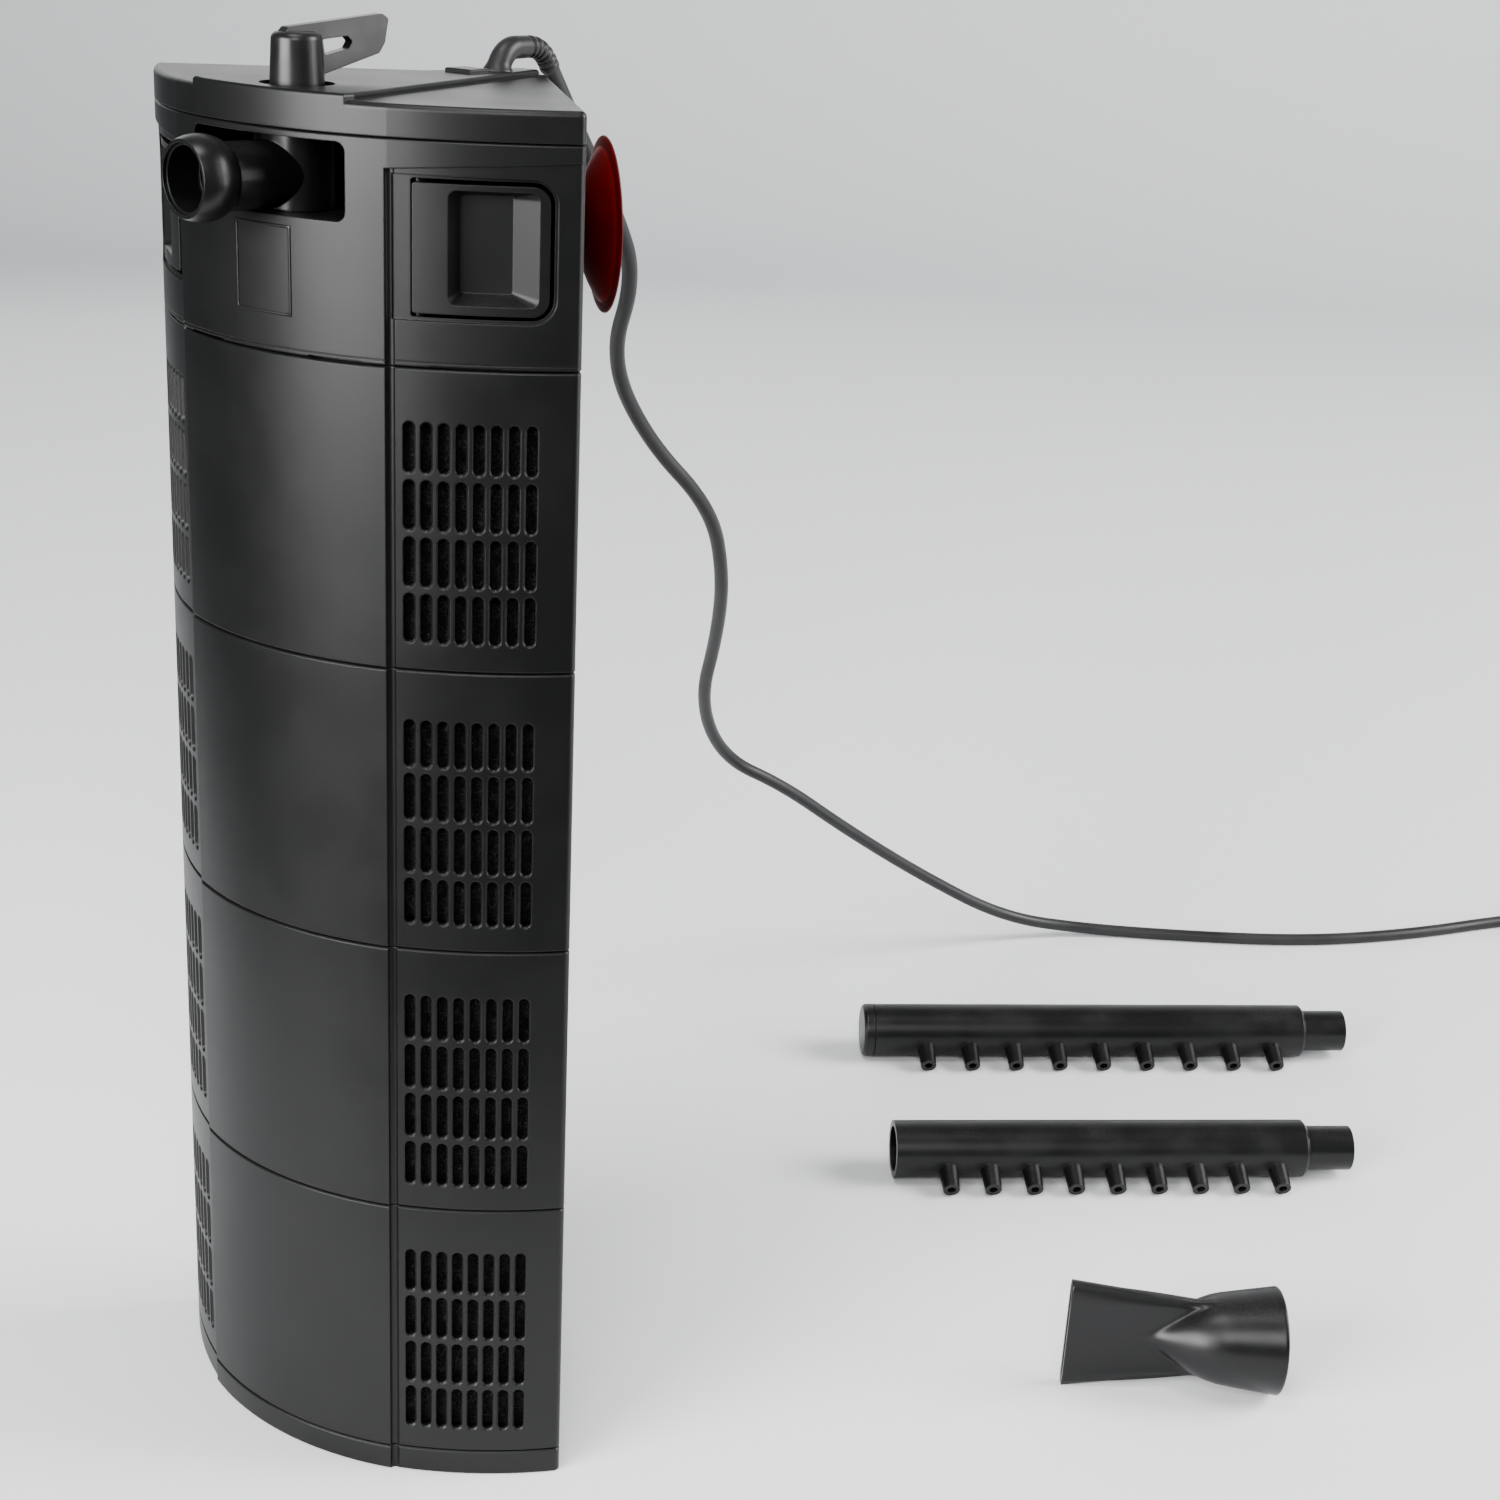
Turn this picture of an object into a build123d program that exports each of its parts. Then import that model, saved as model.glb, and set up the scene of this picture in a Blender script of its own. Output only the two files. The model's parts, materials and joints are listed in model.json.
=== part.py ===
from build123d import *
import os
from math import asin, cos, degrees, floor, pi, radians, sin, sqrt, tan

# A modular corner filter for an aquarium. It is a stack on a quarter-round plan: a base tray, four slotted
# foam modules, a pump head and its cover. Two flat backs meet at 90 degrees in the tank's corner, and
# the front is a centre panel between two side panels.
# Frame: millimetres, +Z up, the centre panel faces -Y, +X is on the viewer's right. The origin is on
# the riser axis, at the underside of the base tray.

os.makedirs("parts", exist_ok=True)

# ---------- Plan of the stack ----------
flat_length = 108.0        # each flat back, from the back corner to its front corner
riser_to_flat = 50.0       # from the riser axis to either flat back
groove_x = 37.0            # half the width of the centre panel
groove_depth_y = 34.9      # the centre panel's edges, in front of the riser axis
front_radius = 95.0        # curve of the centre panel
side_radius = 120.0        # curve of each side panel
side_recess = 0.8          # how far the side panels lie behind the centre panel
groove_radius = 1.3        # round groove beside the centre panel
front_corner_radius = 1.8
back_corner_radius = 6.0
wall = 2.0                 # wall of the side panels and the flats

# ---------- Heights ----------
base_height = 8.0
module_height = 80.0
module_count = 4
head_height = 56.5
cover_height = 9.5
seam_gap = 0.3             # between the pieces of the stack
skirt_height = 4.0         # open socket under each floor
floor_thickness = 2.4
collar_height = 3.0        # rim that stands up into the next piece's socket
collar_wall = 1.4
collar_root = 5.0          # how far the collar runs down inside its own wall
slip = 0.35                # clearance of collars and sockets
edge_break = 0.45          # chamfer along the seams
foot_line_height = 1.2     # fine line round the head, above its foot
foot_line_width = 0.3
foot_line_depth = 0.25

# ---------- Intake slots ----------
slot_width = 2.7
slot_length = 13.0
slot_bevel = 0.5
slot_columns = 8
slot_top_margin = 14.1     # least distance from the top row's centre to the module's top
slot_pitch_across = 4.5
slot_pitch_up = 15.1
slot_first_across = 5.2    # from the groove, along the side panel's chord
slot_first_up = 14.1       # centre of the lowest row above the module's foot

# ---------- Riser and foam ----------
riser_outer_radius = 9.0
riser_inner_radius = 7.4
riser_socket_height = 8.0
riser_socket_wall = 1.4
riser_engagement = 6.0
riser_window_width = 5.0
riser_window_margin = 8.0  # from the windows' upper end to the module's top
riser_window_base = 16.0
foam_gap = 0.6
foam_head_room = 5.0       # between the foam and the next floor

# ---------- Outlet ----------
outlet_axis_y = -27.9      # the outlet's upright axis, in front of the riser axis
outlet_swing_rest = -10.0  # nozzle direction at rest, in degrees from straight ahead, minus to the left
outlet_up = 43.8           # the nozzle's axis above the head's foot
drum_radius = 9.7
drum_neck_radius = 9.0
drum_wall = 1.6
nozzle_tube_radius = 8.6
nozzle_tube_wall = 1.1
nozzle_ball_radius = 10.9
nozzle_reach = 29.7        # from the swing axis to the ball's centre
nozzle_mouth_offset = 4.9  # from the ball's centre to the mouth's plane
nozzle_bore_radius = 8.2
liner_wall = 0.7
liner_set_back = 0.9
liner_depth = 5.0          # how far the liner runs back behind the ball's centre
window_half_width = 26.4
window_bottom_up = 34.8    # both edges of the outlet window above the head's foot
window_top_up = 54.4
window_corner_radius = 2.5
running_gap = 0.3          # between pieces of different bodies

# ---------- Knob and lever ----------
knob_base_radius = 7.0
knob_top_radius = 6.4
knob_top_round = 2.0
knob_height = 12.6
knob_recess_radius = 9.6
knob_recess_depth = 1.0
lever_thickness = 3.0
lever_reach = 27.7
lever_rise = 4.1           # how much higher the lever's tip is than the knob's top

# ---------- Pump ----------
volute_radius = 17.0
volute_wall = 1.6
volute_floor_up = 12.2     # levels of the pump above the head's foot
volute_top_up = 22.0
motor_half_width = 21.0
motor_front_y = -12.0
motor_back_y = 40.0
motor_top_up = 49.0
rotor_bore_radius = 9.4
rotor_radius = 8.7
rotor_length = 20.0
impeller_radius = 13.6
impeller_blades = 6
impeller_height = 6.4
blade_thickness = 1.4
shaft_radius = 1.5
shaft_clearance = 0.05     # radial, for what turns on a pin
bearing_radius = 3.2
eye_radius = 8.0           # inlet of the pump chamber
bush_radius = 11.8         # collar that takes the top riser tube
boss_x = 25.5              # screw bosses of the motor block
boss_y = 12.0
boss_radius = 3.2
screw_radius = 1.2
screw_head_radius = 2.4
screw_head_height = 1.8
duct_half_width = 6.0      # duct from the pump chamber to the outlet
well_plate = 1.6           # lining of the outlet window
hub_radius = 5.0           # drum's hub, under the knob
seal_radius = 0.7          # section of the drum's O-ring
seal_gap = 0.05            # between the O-ring and its socket
seal_height = 4.0          # above the drum's foot

# ---------- Latches ----------
latch_root = 6.1           # the tongue's hinged edge, along the side panel's chord from the groove
latch_tip = 40.5
latch_bottom_up = 13.6     # both ends of the tongue above the head's foot
latch_top_up = 45.8
latch_slit = 1.0
latch_thickness = 2.2
latch_corner_radius = 4.5
latch_recess_margin = 1.9
latch_recess_depth = 1.2   # the step round the tongue, below the side panel's face
latch_face_depth = 0.6     # the tongue's own face, below the same
grip_left = 15.1           # finger recess in the tongue
grip_right = 38.0
grip_floor_left = 17.9
grip_floor_right = 31.0
grip_bottom_up = 16.0      # levels of the recess above the head's foot
grip_top_up = 44.3
grip_floor_bottom_up = 18.4
grip_floor_top_up = 42.8
grip_corner_radius = 2.2
grip_floor_corner_radius = 0.8
latch_hinge_corner_radius = 0.6
grip_edge = 0.6            # upright edge round the finger recess
grip_depth = 5.2
grip_wall = 1.4
brow_height_inner = 48.9   # lower edge of the head's brow above the head's foot, beside the groove
brow_height_outer = 52.0   # the same at the front corner
barrel_radius = 1.5        # hinge barrel on the tongue's root, behind the wall
barrel_depth = -3.6        # its axis, from the side panel's chord
ear_height = 2.4           # drilled ears that carry the barrel

# ---------- Suction cups ----------
cup_radius = 23.6
cup_stand_off = 11.4       # from the flat to the cup's rim
cup_up = 29.6              # cup centre above the head's foot
cup_along = -4.0           # cup centre along the flat, from the riser's foot point, plus towards the back corner
cup_rim_thickness = 1.0
cup_hollow = 3.4
cup_neck_radius = 4.2
cup_stem_radius = 3.0
cup_button_radius = 5.2
cup_button_thickness = 2.2

# ---------- Notches between head and top module ----------
pry_height = 0.6

# ---------- Cover ----------
fan_step = 1.6             # how much higher the middle of the cover is than its sides
fan_half_width = 26.4      # raised middle, at the front
fan_back_half_width = 3.0
fan_back_y = 64.0
cover_plate = 2.2
cover_edge_round = 1.5
cover_spigot = 2.4         # depth of the cover's rim inside the head

# ---------- Cable ----------
cable_radius = 2.5
guide_radius = 3.0         # moulded elbow that leads the cable over the back corner
guide_base_radius = 4.6
guide_exit_y = 50.0        # where the elbow stands on the cover
guide_rise = 6.0           # from the cover to the elbow's level stretch
guide_reach = 18.2         # length of the level stretch
guide_tail = 8.2           # length of the stretch that points down behind the corner
guide_lean = 55.0          # how far below level that stretch points, in degrees
guide_foot_depth = 6.0     # from the cover's top down to the elbow's lower end
# The route from the elbow's end down to the surface that the filter stands on, and to the coil.
cable_route = [
    (0.0, 72.9, 393.28), (0.0, 87.07, 373.05), (0.7, 102.5, 352.0), (-2.8, 118.8, 330.0), (-25.5, 135.8, 299.0),
    (-26.9, 158.4, 269.0), (-17.7, 184.6, 242.0), (-27.6, 207.2, 212.0), (-46.0, 231.0, 181.0),
    (-71.4, 256.7, 142.0), (-79.9, 286.4, 109.0), (-65.8, 310.4, 94.0), (-54.4, 341.5, 69.0),
    (-41.0, 384.7, 38.0), (-19.1, 422.1, 12.0), (4.9, 454.7, cable_radius), (46.7, 479.4, cable_radius),
    (89.8, 509.8, cable_radius), (123.7, 549.4, cable_radius), (148.5, 589.7, cable_radius),
    (172.5, 621.7, cable_radius),
]
coil_centre = (196.5, 603.7)
coil_turn_radius = 30.0    # centre line of the outer turns
coil_turns_across = 2
coil_layers = 2

# ---------- Plug, lying flat beside the coil ----------
plug_direction = -80.0     # where the pins point, in degrees from +X
cable_tail_length = 22.0   # from the coil's outer turn to the plug's strain relief
plug_relief_radius = 3.6
plug_relief_length = 24.0
plug_body_length = 36.0
plug_body_width = 26.0
plug_tail_width = 15.0
plug_thickness = 13.7
plug_corner_radius = 3.0
plug_pin_radius = 2.0
plug_pin_pitch = 19.0
plug_pin_length = 19.0
plug_root_radius = 1.5     # the pins' roots inside the plug
plug_root_length = 6.0

# ---------- Loose outlet pieces, lying on the floor ----------
bar_angle = 40.0           # direction of both bars, from +X
jet_angle = 37.0           # direction of the wide jet, from +X
bar_radius = 10.4
bar_end_gap = 0.1          # radial, between a bar's narrow end and the bore that takes it
bar_end_wall = 1.3
bar_end_length = 17.0
bar_shoulder_chamfer = 1.2
stub_end_margin = 8.0      # least distance from the last jet to the bar's shoulder
stub_root_radius = 3.6
stub_tip_radius = 3.0
stub_bore_radius = 1.5
stub_length = 8.8
stub_dip = 22.0            # how far below level the jets point, in degrees
long_bar_length = 180.5    # without the narrow end
long_bar_first_stub = 25.1
long_bar_stub_pitch = 17.7
long_bar_middle = (68.9, 350.5)
short_bar_length = 153.5
short_bar_first_stub = 19.3
short_bar_stub_pitch = 15.3
short_bar_middle = (121.6, 265.4)
end_cap_length = 4.5
end_cap_spigot = 6.0
jet_middle = (197.4, 150.7)
jet_length = 67.0
jet_mouth_radius = 17.0
jet_neck_radius = 12.9
jet_neck_at = 24.0         # from the mouth
jet_point_at = 44.0        # where the round part runs out into the blade, from the mouth
jet_blade_width = 37.0
jet_blade_thickness = 4.4
jet_wall = 1.4

# ---------- Derived places ----------
back_corner_y = riser_to_flat * sqrt(2)
front_corner_x = flat_length / sqrt(2)
front_corner_y = back_corner_y - front_corner_x
head_foot = base_height + module_count * module_height
head_top = head_foot + head_height
cover_top = head_top + cover_height
inner_inset = wall + side_recess
slot_rows = floor((module_height - slot_top_margin - slot_first_up) / slot_pitch_up) + 1
riser_window_top = module_height - riser_window_margin
outlet_height = head_foot + outlet_up
window_bottom = head_foot + window_bottom_up
window_top = head_foot + window_top_up
volute_floor = head_foot + volute_floor_up
volute_top = head_foot + volute_top_up
motor_top = head_foot + motor_top_up
latch_bottom = head_foot + latch_bottom_up
latch_top = head_foot + latch_top_up
grip_bottom = head_foot + grip_bottom_up
grip_top = head_foot + grip_top_up
grip_floor_bottom = head_foot + grip_floor_bottom_up
grip_floor_top = head_foot + grip_floor_top_up
cup_level = head_foot + cup_up
bar_end_radius = nozzle_bore_radius - bar_end_gap


# ---------- Small helpers ----------
def cylinder(radius, bottom, top, x=0.0, y=0.0):
    """An upright cylinder between two levels."""
    return Pos(x, y, bottom) * Cylinder(radius, top - bottom, align=(Align.CENTER, Align.CENTER, Align.MIN))


def cone(low_radius, high_radius, bottom, top, x=0.0, y=0.0):
    """An upright cone between two levels."""
    low_aligned = (Align.CENTER, Align.CENTER, Align.MIN)
    return Pos(x, y, bottom) * Cone(low_radius, high_radius, top - bottom, align=low_aligned)


def ring(outer, inner, bottom, top, x=0.0, y=0.0):
    """An upright tube between two levels."""
    return cylinder(outer, bottom, top, x, y) - cylinder(inner, bottom - 1, top + 1, x, y)


def x_cylinder(radius, start, end):
    """A cylinder along +X between two places."""
    return Rot(0, 90, 0) * cylinder(radius, start, end)


def block(x0, x1, y0, y1, z0, z1):
    """A box from its corners."""
    return Pos((x0 + x1) / 2, (y0 + y1) / 2, (z0 + z1) / 2) * Box(x1 - x0, y1 - y0, z1 - z0)


def mirrored(shape):
    """The same shape on the other side of the centre plane."""
    return mirror(shape, about=Plane.YZ)


def flip(point):
    return Vector(-point.X, point.Y)


def save(shape, node):
    """Writes one piece, or one group of like pieces, as a named node."""
    shape.label = node
    export_step(shape, f"parts/{node}.step")


# ---------- Plan of the stack ----------
def arc_centre(start, end, radius):
    """Centre of the arc from start to end that bulges away from the riser axis."""
    middle = (start + end) * 0.5
    along = (end - start).normalized()
    inward = Vector(-along.Y, along.X)
    if inward.dot(middle) > 0:
        inward = inward * -1
    return middle + inward * sqrt(radius**2 - (end - start).length ** 2 / 4)


groove_point = Vector(groove_x, -groove_depth_y)
corner_point = Vector(front_corner_x, front_corner_y)
side_centre = arc_centre(groove_point, corner_point, side_radius)
front_centre = Vector(0, -groove_depth_y + sqrt(front_radius**2 - groove_x**2))
chord = (corner_point - groove_point).normalized()
chord_normal = Vector(chord.Y, -chord.X)
chord_length = (corner_point - groove_point).length
side_plane = Plane(origin=groove_point, x_dir=chord, z_dir=chord_normal)
cup_foot = Vector(riser_to_flat - cup_along, riser_to_flat + cup_along) / sqrt(2)
cup_place = Plane(origin=Vector(cup_foot.X, cup_foot.Y, cup_level), x_dir=Vector(0, 0, 1), z_dir=Vector(1, 1, 0))


def side_arc_at(x, radius):
    """Point of the right side panel, of a given radius, at a given x."""
    return Vector(x, side_centre.Y - sqrt(radius**2 - (x - side_centre.X) ** 2))


def side_arc_on_flat(radius):
    """Where the right side panel meets the right flat, the line x + y = back_corner_y."""
    to_line = (back_corner_y - side_centre.X - side_centre.Y) / sqrt(2)
    half = sqrt(radius**2 - to_line**2)
    foot = side_centre + Vector(1, 1) * (to_line / sqrt(2))
    return foot + Vector(1, -1) * (half / sqrt(2))


def side_bulge(across):
    """How far the side panel stands out from its chord, at a distance from the groove."""
    half = chord_length / 2
    return sqrt(side_radius**2 - (across - half) ** 2) - sqrt(side_radius**2 - half**2) - side_recess


def plan_face(recess=0.0):
    """The quarter-round plan with sharp corners, its side panels set back by recess."""
    radius = side_radius - recess
    corner = side_arc_on_flat(radius)
    step = side_arc_at(groove_x, radius)
    side_middle = side_arc_at((corner.X + step.X) / 2, radius)
    front_middle = Vector(0, front_centre.Y - front_radius)
    back = Vector(0, back_corner_y)
    edges = [Line(back, corner), ThreePointArc(corner, side_middle, step)]
    if recess > 0:
        edges.append(Line(step, groove_point))
    edges.append(ThreePointArc(groove_point, front_middle, flip(groove_point)))
    if recess > 0:
        edges.append(Line(flip(groove_point), flip(step)))
    edges.append(ThreePointArc(flip(step), flip(side_middle), flip(corner)))
    edges.append(Line(flip(corner), back))
    return make_face(Wire(edges))


def rounded_plan(recess):
    """The outer plan with its three upright edges rounded."""
    sketch = Sketch() + plan_face(recess)
    front = [v for v in sketch.vertices() if abs(v.X) > groove_x * 1.5]
    sketch = fillet(front, front_corner_radius)
    back = [v for v in sketch.vertices() if v.Y > back_corner_y * 0.9]
    return fillet(back, back_corner_radius)


def inset_plan(inset):
    """The plan offset inwards by one wall all round."""
    return offset(plan_face(), -inset, kind=Kind.INTERSECTION)


def prism(face, bottom, top):
    return Pos(0, 0, bottom) * extrude(face, top - bottom)


def panel_grooves(bottom, top):
    """Round grooves along both edges of the centre panel."""
    groove = cylinder(groove_radius, bottom, top, groove_x + groove_radius / 3, -groove_depth_y + side_recess / 2)
    return groove + mirrored(groove)


def stack_wall(bottom, top):
    """Solid outer body of one piece of the stack, with broken edges at both seams."""
    body = prism(rounded_plan(side_recess), bottom, top)
    edges = body.edges()
    seams = edges.filter_by_position(Axis.Z, bottom, bottom) + edges.filter_by_position(Axis.Z, top, top)
    return chamfer(seams, edge_break) - panel_grooves(bottom - 1, top + 1)


def floor_socket(bottom):
    """The hollow under a floor that takes the collar of the piece below."""
    return prism(inset_plan(inner_inset), bottom - 1, bottom + skirt_height)


def collar(top):
    """Rim inside the wall that stands up into the socket of the piece above."""
    inner = inset_plan(inner_inset + slip + collar_wall)
    low = prism(inset_plan(inner_inset - 0.2), top - collar_root, top - seam_gap)
    high = prism(inset_plan(inner_inset + slip), top - seam_gap, top + collar_height)
    return low + high - prism(inner, top - collar_root - 1, top + collar_height + 1)


# ---------- Base tray ----------
def base_tray():
    """Closed foot of the stack. Its stub plugs the lowest riser tube."""
    body = stack_wall(0, base_height - seam_gap)
    body = body - prism(inset_plan(inner_inset), floor_thickness, base_height)
    stub_top = base_height + skirt_height + riser_engagement
    stub = ring(riser_outer_radius, riser_inner_radius, floor_thickness - 0.5, stub_top)
    return body + collar(base_height) + stub


# ---------- Foam modules ----------
def intake_slots():
    """Cutters of one side panel's slots, each with a bevelled mouth, for a module that stands on z = 0."""
    cutters = []
    for column in range(slot_columns):
        across = slot_first_across + column * slot_pitch_across
        face_level = side_bulge(across)
        for row in range(slot_rows):
            up = slot_first_up + row * slot_pitch_up
            through = Pos(across, up, -wall * 2) * SlotOverall(slot_length, slot_width, rotation=90)
            cutters.append(extrude(side_plane * through, wall * 4))
            bevel_length = slot_length + slot_bevel * 2
            mouth = Pos(across, up, face_level + 0.01) * SlotOverall(bevel_length, slot_width + slot_bevel * 2,
                                                                     rotation=90)
            cutters.append(extrude(side_plane * mouth, -slot_bevel, taper=45))
            cutters.append(extrude(side_plane * mouth, 1.0))
    return cutters


def module_shell():
    """One slotted module that stands on z = 0. All modules are alike."""
    floor_top = skirt_height + floor_thickness
    body = stack_wall(0, module_height - seam_gap)
    body = body - floor_socket(0) - prism(inset_plan(inner_inset), floor_top, module_height)
    body = body - cylinder(riser_outer_radius + slip + riser_socket_wall, 0, floor_top + 1)
    body = body + collar(module_height)
    slots = intake_slots()
    slots += [mirrored(cutter) for cutter in slots]
    return body - slots


def riser_tube():
    """Perforated suction tube of one module. Its foot is a socket for the tube below."""
    top = module_height + skirt_height + riser_engagement
    socket_top = skirt_height + riser_socket_height
    socket_radius = riser_outer_radius + slip + riser_socket_wall
    body = cylinder(riser_outer_radius, skirt_height, top)
    body = body + cylinder(socket_radius, skirt_height, socket_top + riser_socket_wall)
    body = body - cylinder(riser_inner_radius, 0, top + 1) - cylinder(riser_outer_radius + slip, 0, socket_top)
    half = riser_window_width / 2
    reach = riser_outer_radius + 1
    body = body - block(-half, half, -reach, reach, riser_window_base, riser_window_top)
    return body - block(-reach, reach, -half, half, riser_window_base, riser_window_top)


def foam_block():
    """Coarse foam cut to the module's plan, with a hole for the riser tube."""
    bottom = skirt_height + floor_thickness
    hole = riser_outer_radius + slip + riser_socket_wall + foam_gap
    body = prism(inset_plan(inner_inset + foam_gap), bottom, module_height - collar_root - foam_head_room)
    return body - cylinder(hole, 0, module_height)


# ---------- Pump head ----------
def brow_wedge():
    """Everything below the sloping lower edge of the head's right brow."""
    outside = front_corner_x + 10
    slope = (brow_height_outer - brow_height_inner) / (front_corner_x - groove_x)
    high = brow_height_inner + slope * (outside - groove_x)
    inside = groove_x - 2
    corners = [(inside, -10), (outside, -10), (outside, high), (groove_x, brow_height_inner),
               (inside, brow_height_inner)]
    outline = Pos(0, 0, head_foot) * (Plane.XZ * make_face(Polyline(*corners, close=True)))
    return extrude(outline, back_corner_y * 2, both=True)


def side_rectangle(left, right, bottom, top, corner, inner, outer):
    """A rounded block on the right side panel, between two depths along the panel's normal."""
    sketch = Pos((left + right) / 2, (bottom + top) / 2, inner) * RectangleRounded(right - left, top - bottom, corner)
    return extrude(side_plane * sketch, outer - inner)


def latch_outline(grow_left, grow):
    """The right tongue's outline, round at its free end and square at its hinge, grown by its gaps."""
    left = latch_root - grow_left
    low = latch_bottom - grow
    high = latch_top + grow
    rounded = side_rectangle(left, latch_tip + grow, low, high, latch_corner_radius + grow, -wall * 3, wall * 3)
    square = side_rectangle(left, (latch_root + latch_tip) / 2, low, high, latch_hinge_corner_radius,
                            -wall * 3, wall * 3)
    return rounded + square


def latch_recess():
    """The step in the skin round the right tongue. It runs out into the groove beside the centre panel."""
    outline = latch_outline(latch_tip, latch_recess_margin)
    panel = block(groove_x, front_corner_x * 2, -front_corner_x, front_corner_x, head_foot, head_top)
    return (outline & panel) - prism(inset_plan(side_recess + latch_recess_depth), head_foot, head_top)


def foot_line():
    """A fine line cut round the head, just above its foot."""
    plan = rounded_plan(side_recess)
    low = head_foot + foot_line_height
    high = low + foot_line_width
    return prism(offset(plan, wall), low, high) - prism(offset(plan, -foot_line_depth), low, high)


def barrel_axis():
    """The right latch's hinge axis, in plan."""
    return side_plane.from_local_coords(Vector(latch_root + barrel_radius, 0, barrel_depth))


def latch_ears():
    """Two drilled ears inside the right side panel that carry the latch's barrel."""
    left = latch_root - 1.5
    right = latch_root + barrel_radius * 2 + 1.5
    inner = barrel_depth - barrel_radius - 1.2
    low = side_rectangle(left, right, latch_bottom - ear_height - 1.2, latch_bottom - 1.2, 0.6, inner, -0.8)
    high = side_rectangle(left, right, latch_top + 1.2, latch_top + ear_height + 1.2, 0.6, inner, -0.8)
    axis = barrel_axis()
    hole = cylinder(barrel_radius + shaft_clearance, latch_bottom - 10, latch_top + 10, axis.X, axis.Y)
    return low + high - hole


def pry_notches():
    """Shallow notches in the head's foot, where a thumbnail parts the head from the top module."""
    depth = -groove_depth_y + wall
    front = block(15.3, 30.4, -groove_depth_y * 1.4, depth, head_foot - 1, head_foot + pry_height)
    side = extrude(side_plane * (Pos(19.6, head_foot, 0) * Rectangle(18, pry_height * 2)), wall * 2)
    return [front, mirrored(front), side, mirrored(side)]


def head_shell():
    """Housing of the pump head: skirt, floor, brow, outlet window, latch openings and cup holes."""
    floor_bottom = head_foot + skirt_height
    floor_top = floor_bottom + floor_thickness
    top = head_top - seam_gap
    brow = prism(rounded_plan(0), head_foot + skirt_height, top)
    brow = chamfer(brow.edges().filter_by_position(Axis.Z, top, top), edge_break)
    wedge = brow_wedge()
    body = stack_wall(head_foot, top) + (brow - wedge - mirrored(wedge))
    body = body - floor_socket(head_foot) - prism(inset_plan(inner_inset), floor_top, head_top)
    body = body - cylinder(bush_radius, head_foot, floor_top + 1)
    for side in (1, -1):
        body = body + ring(boss_radius, screw_radius, floor_top - 0.5, volute_top, side * boss_x, boss_y)
    window = Pos(0, 0, (window_bottom + window_top) / 2) * (Plane.XZ * RectangleRounded(
        window_half_width * 2, window_top - window_bottom, window_corner_radius))
    body = body - Pos(0, outlet_axis_y, 0) * extrude(window, groove_depth_y)
    ears = latch_ears()
    body = body + ears + mirrored(ears)
    opening = latch_outline(running_gap, latch_slit)
    cup_hole = cup_place * cylinder(cup_stem_radius, -wall * 3, wall * 3)
    for cutter in (latch_recess(), opening, cup_hole):
        body = body - cutter - mirrored(cutter)
    for cutter in pry_notches():
        body = body - cutter
    return body - foot_line()


def latch_tongue():
    """Right release tongue: a curved plate with a finger recess, on a hinge barrel."""
    skin = prism(inset_plan(side_recess + latch_face_depth), latch_bottom, latch_top)
    skin = skin - prism(inset_plan(side_recess + latch_face_depth + latch_thickness), latch_bottom, latch_top)
    body = skin & latch_outline(0, 0)
    face_level = side_bulge((grip_left + grip_right) / 2) - latch_face_depth
    pocket_back = side_rectangle(grip_left, grip_right, grip_bottom, grip_top, grip_corner_radius,
                                 face_level - grip_depth - grip_wall, face_level - 1.0)
    mouth = side_rectangle(grip_left, grip_right, grip_bottom, grip_top, grip_corner_radius,
                           face_level - grip_edge, face_level + grip_edge * 2)
    rim = Pos((grip_left + grip_right) / 2, (grip_bottom + grip_top) / 2, face_level - grip_edge)
    rim = side_plane * (rim * RectangleRounded(grip_right - grip_left, grip_top - grip_bottom, grip_corner_radius))
    floor_middle = Pos((grip_floor_left + grip_floor_right) / 2, (grip_floor_bottom + grip_floor_top) / 2,
                       face_level - grip_depth)
    sunk = floor_middle * RectangleRounded(grip_floor_right - grip_floor_left, grip_floor_top - grip_floor_bottom,
                                           grip_floor_corner_radius)
    body = body + pocket_back - mouth - loft([rim, side_plane * sunk], ruled=True)
    axis = barrel_axis()
    behind_wall = side_bulge(latch_root) - wall - running_gap
    web = side_rectangle(latch_root + 0.1, latch_root + barrel_radius * 2, latch_bottom, latch_top, 0.4,
                         barrel_depth, behind_wall)
    barrel = cylinder(barrel_radius, latch_bottom - ear_height - 1.2, latch_top + ear_height + 1.2, axis.X, axis.Y)
    return body + web + barrel


def inlet_bush():
    """Collar under the pump chamber that slides over the top riser tube."""
    body = ring(bush_radius, riser_outer_radius + slip, head_foot + skirt_height, volute_floor)
    return body


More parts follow.
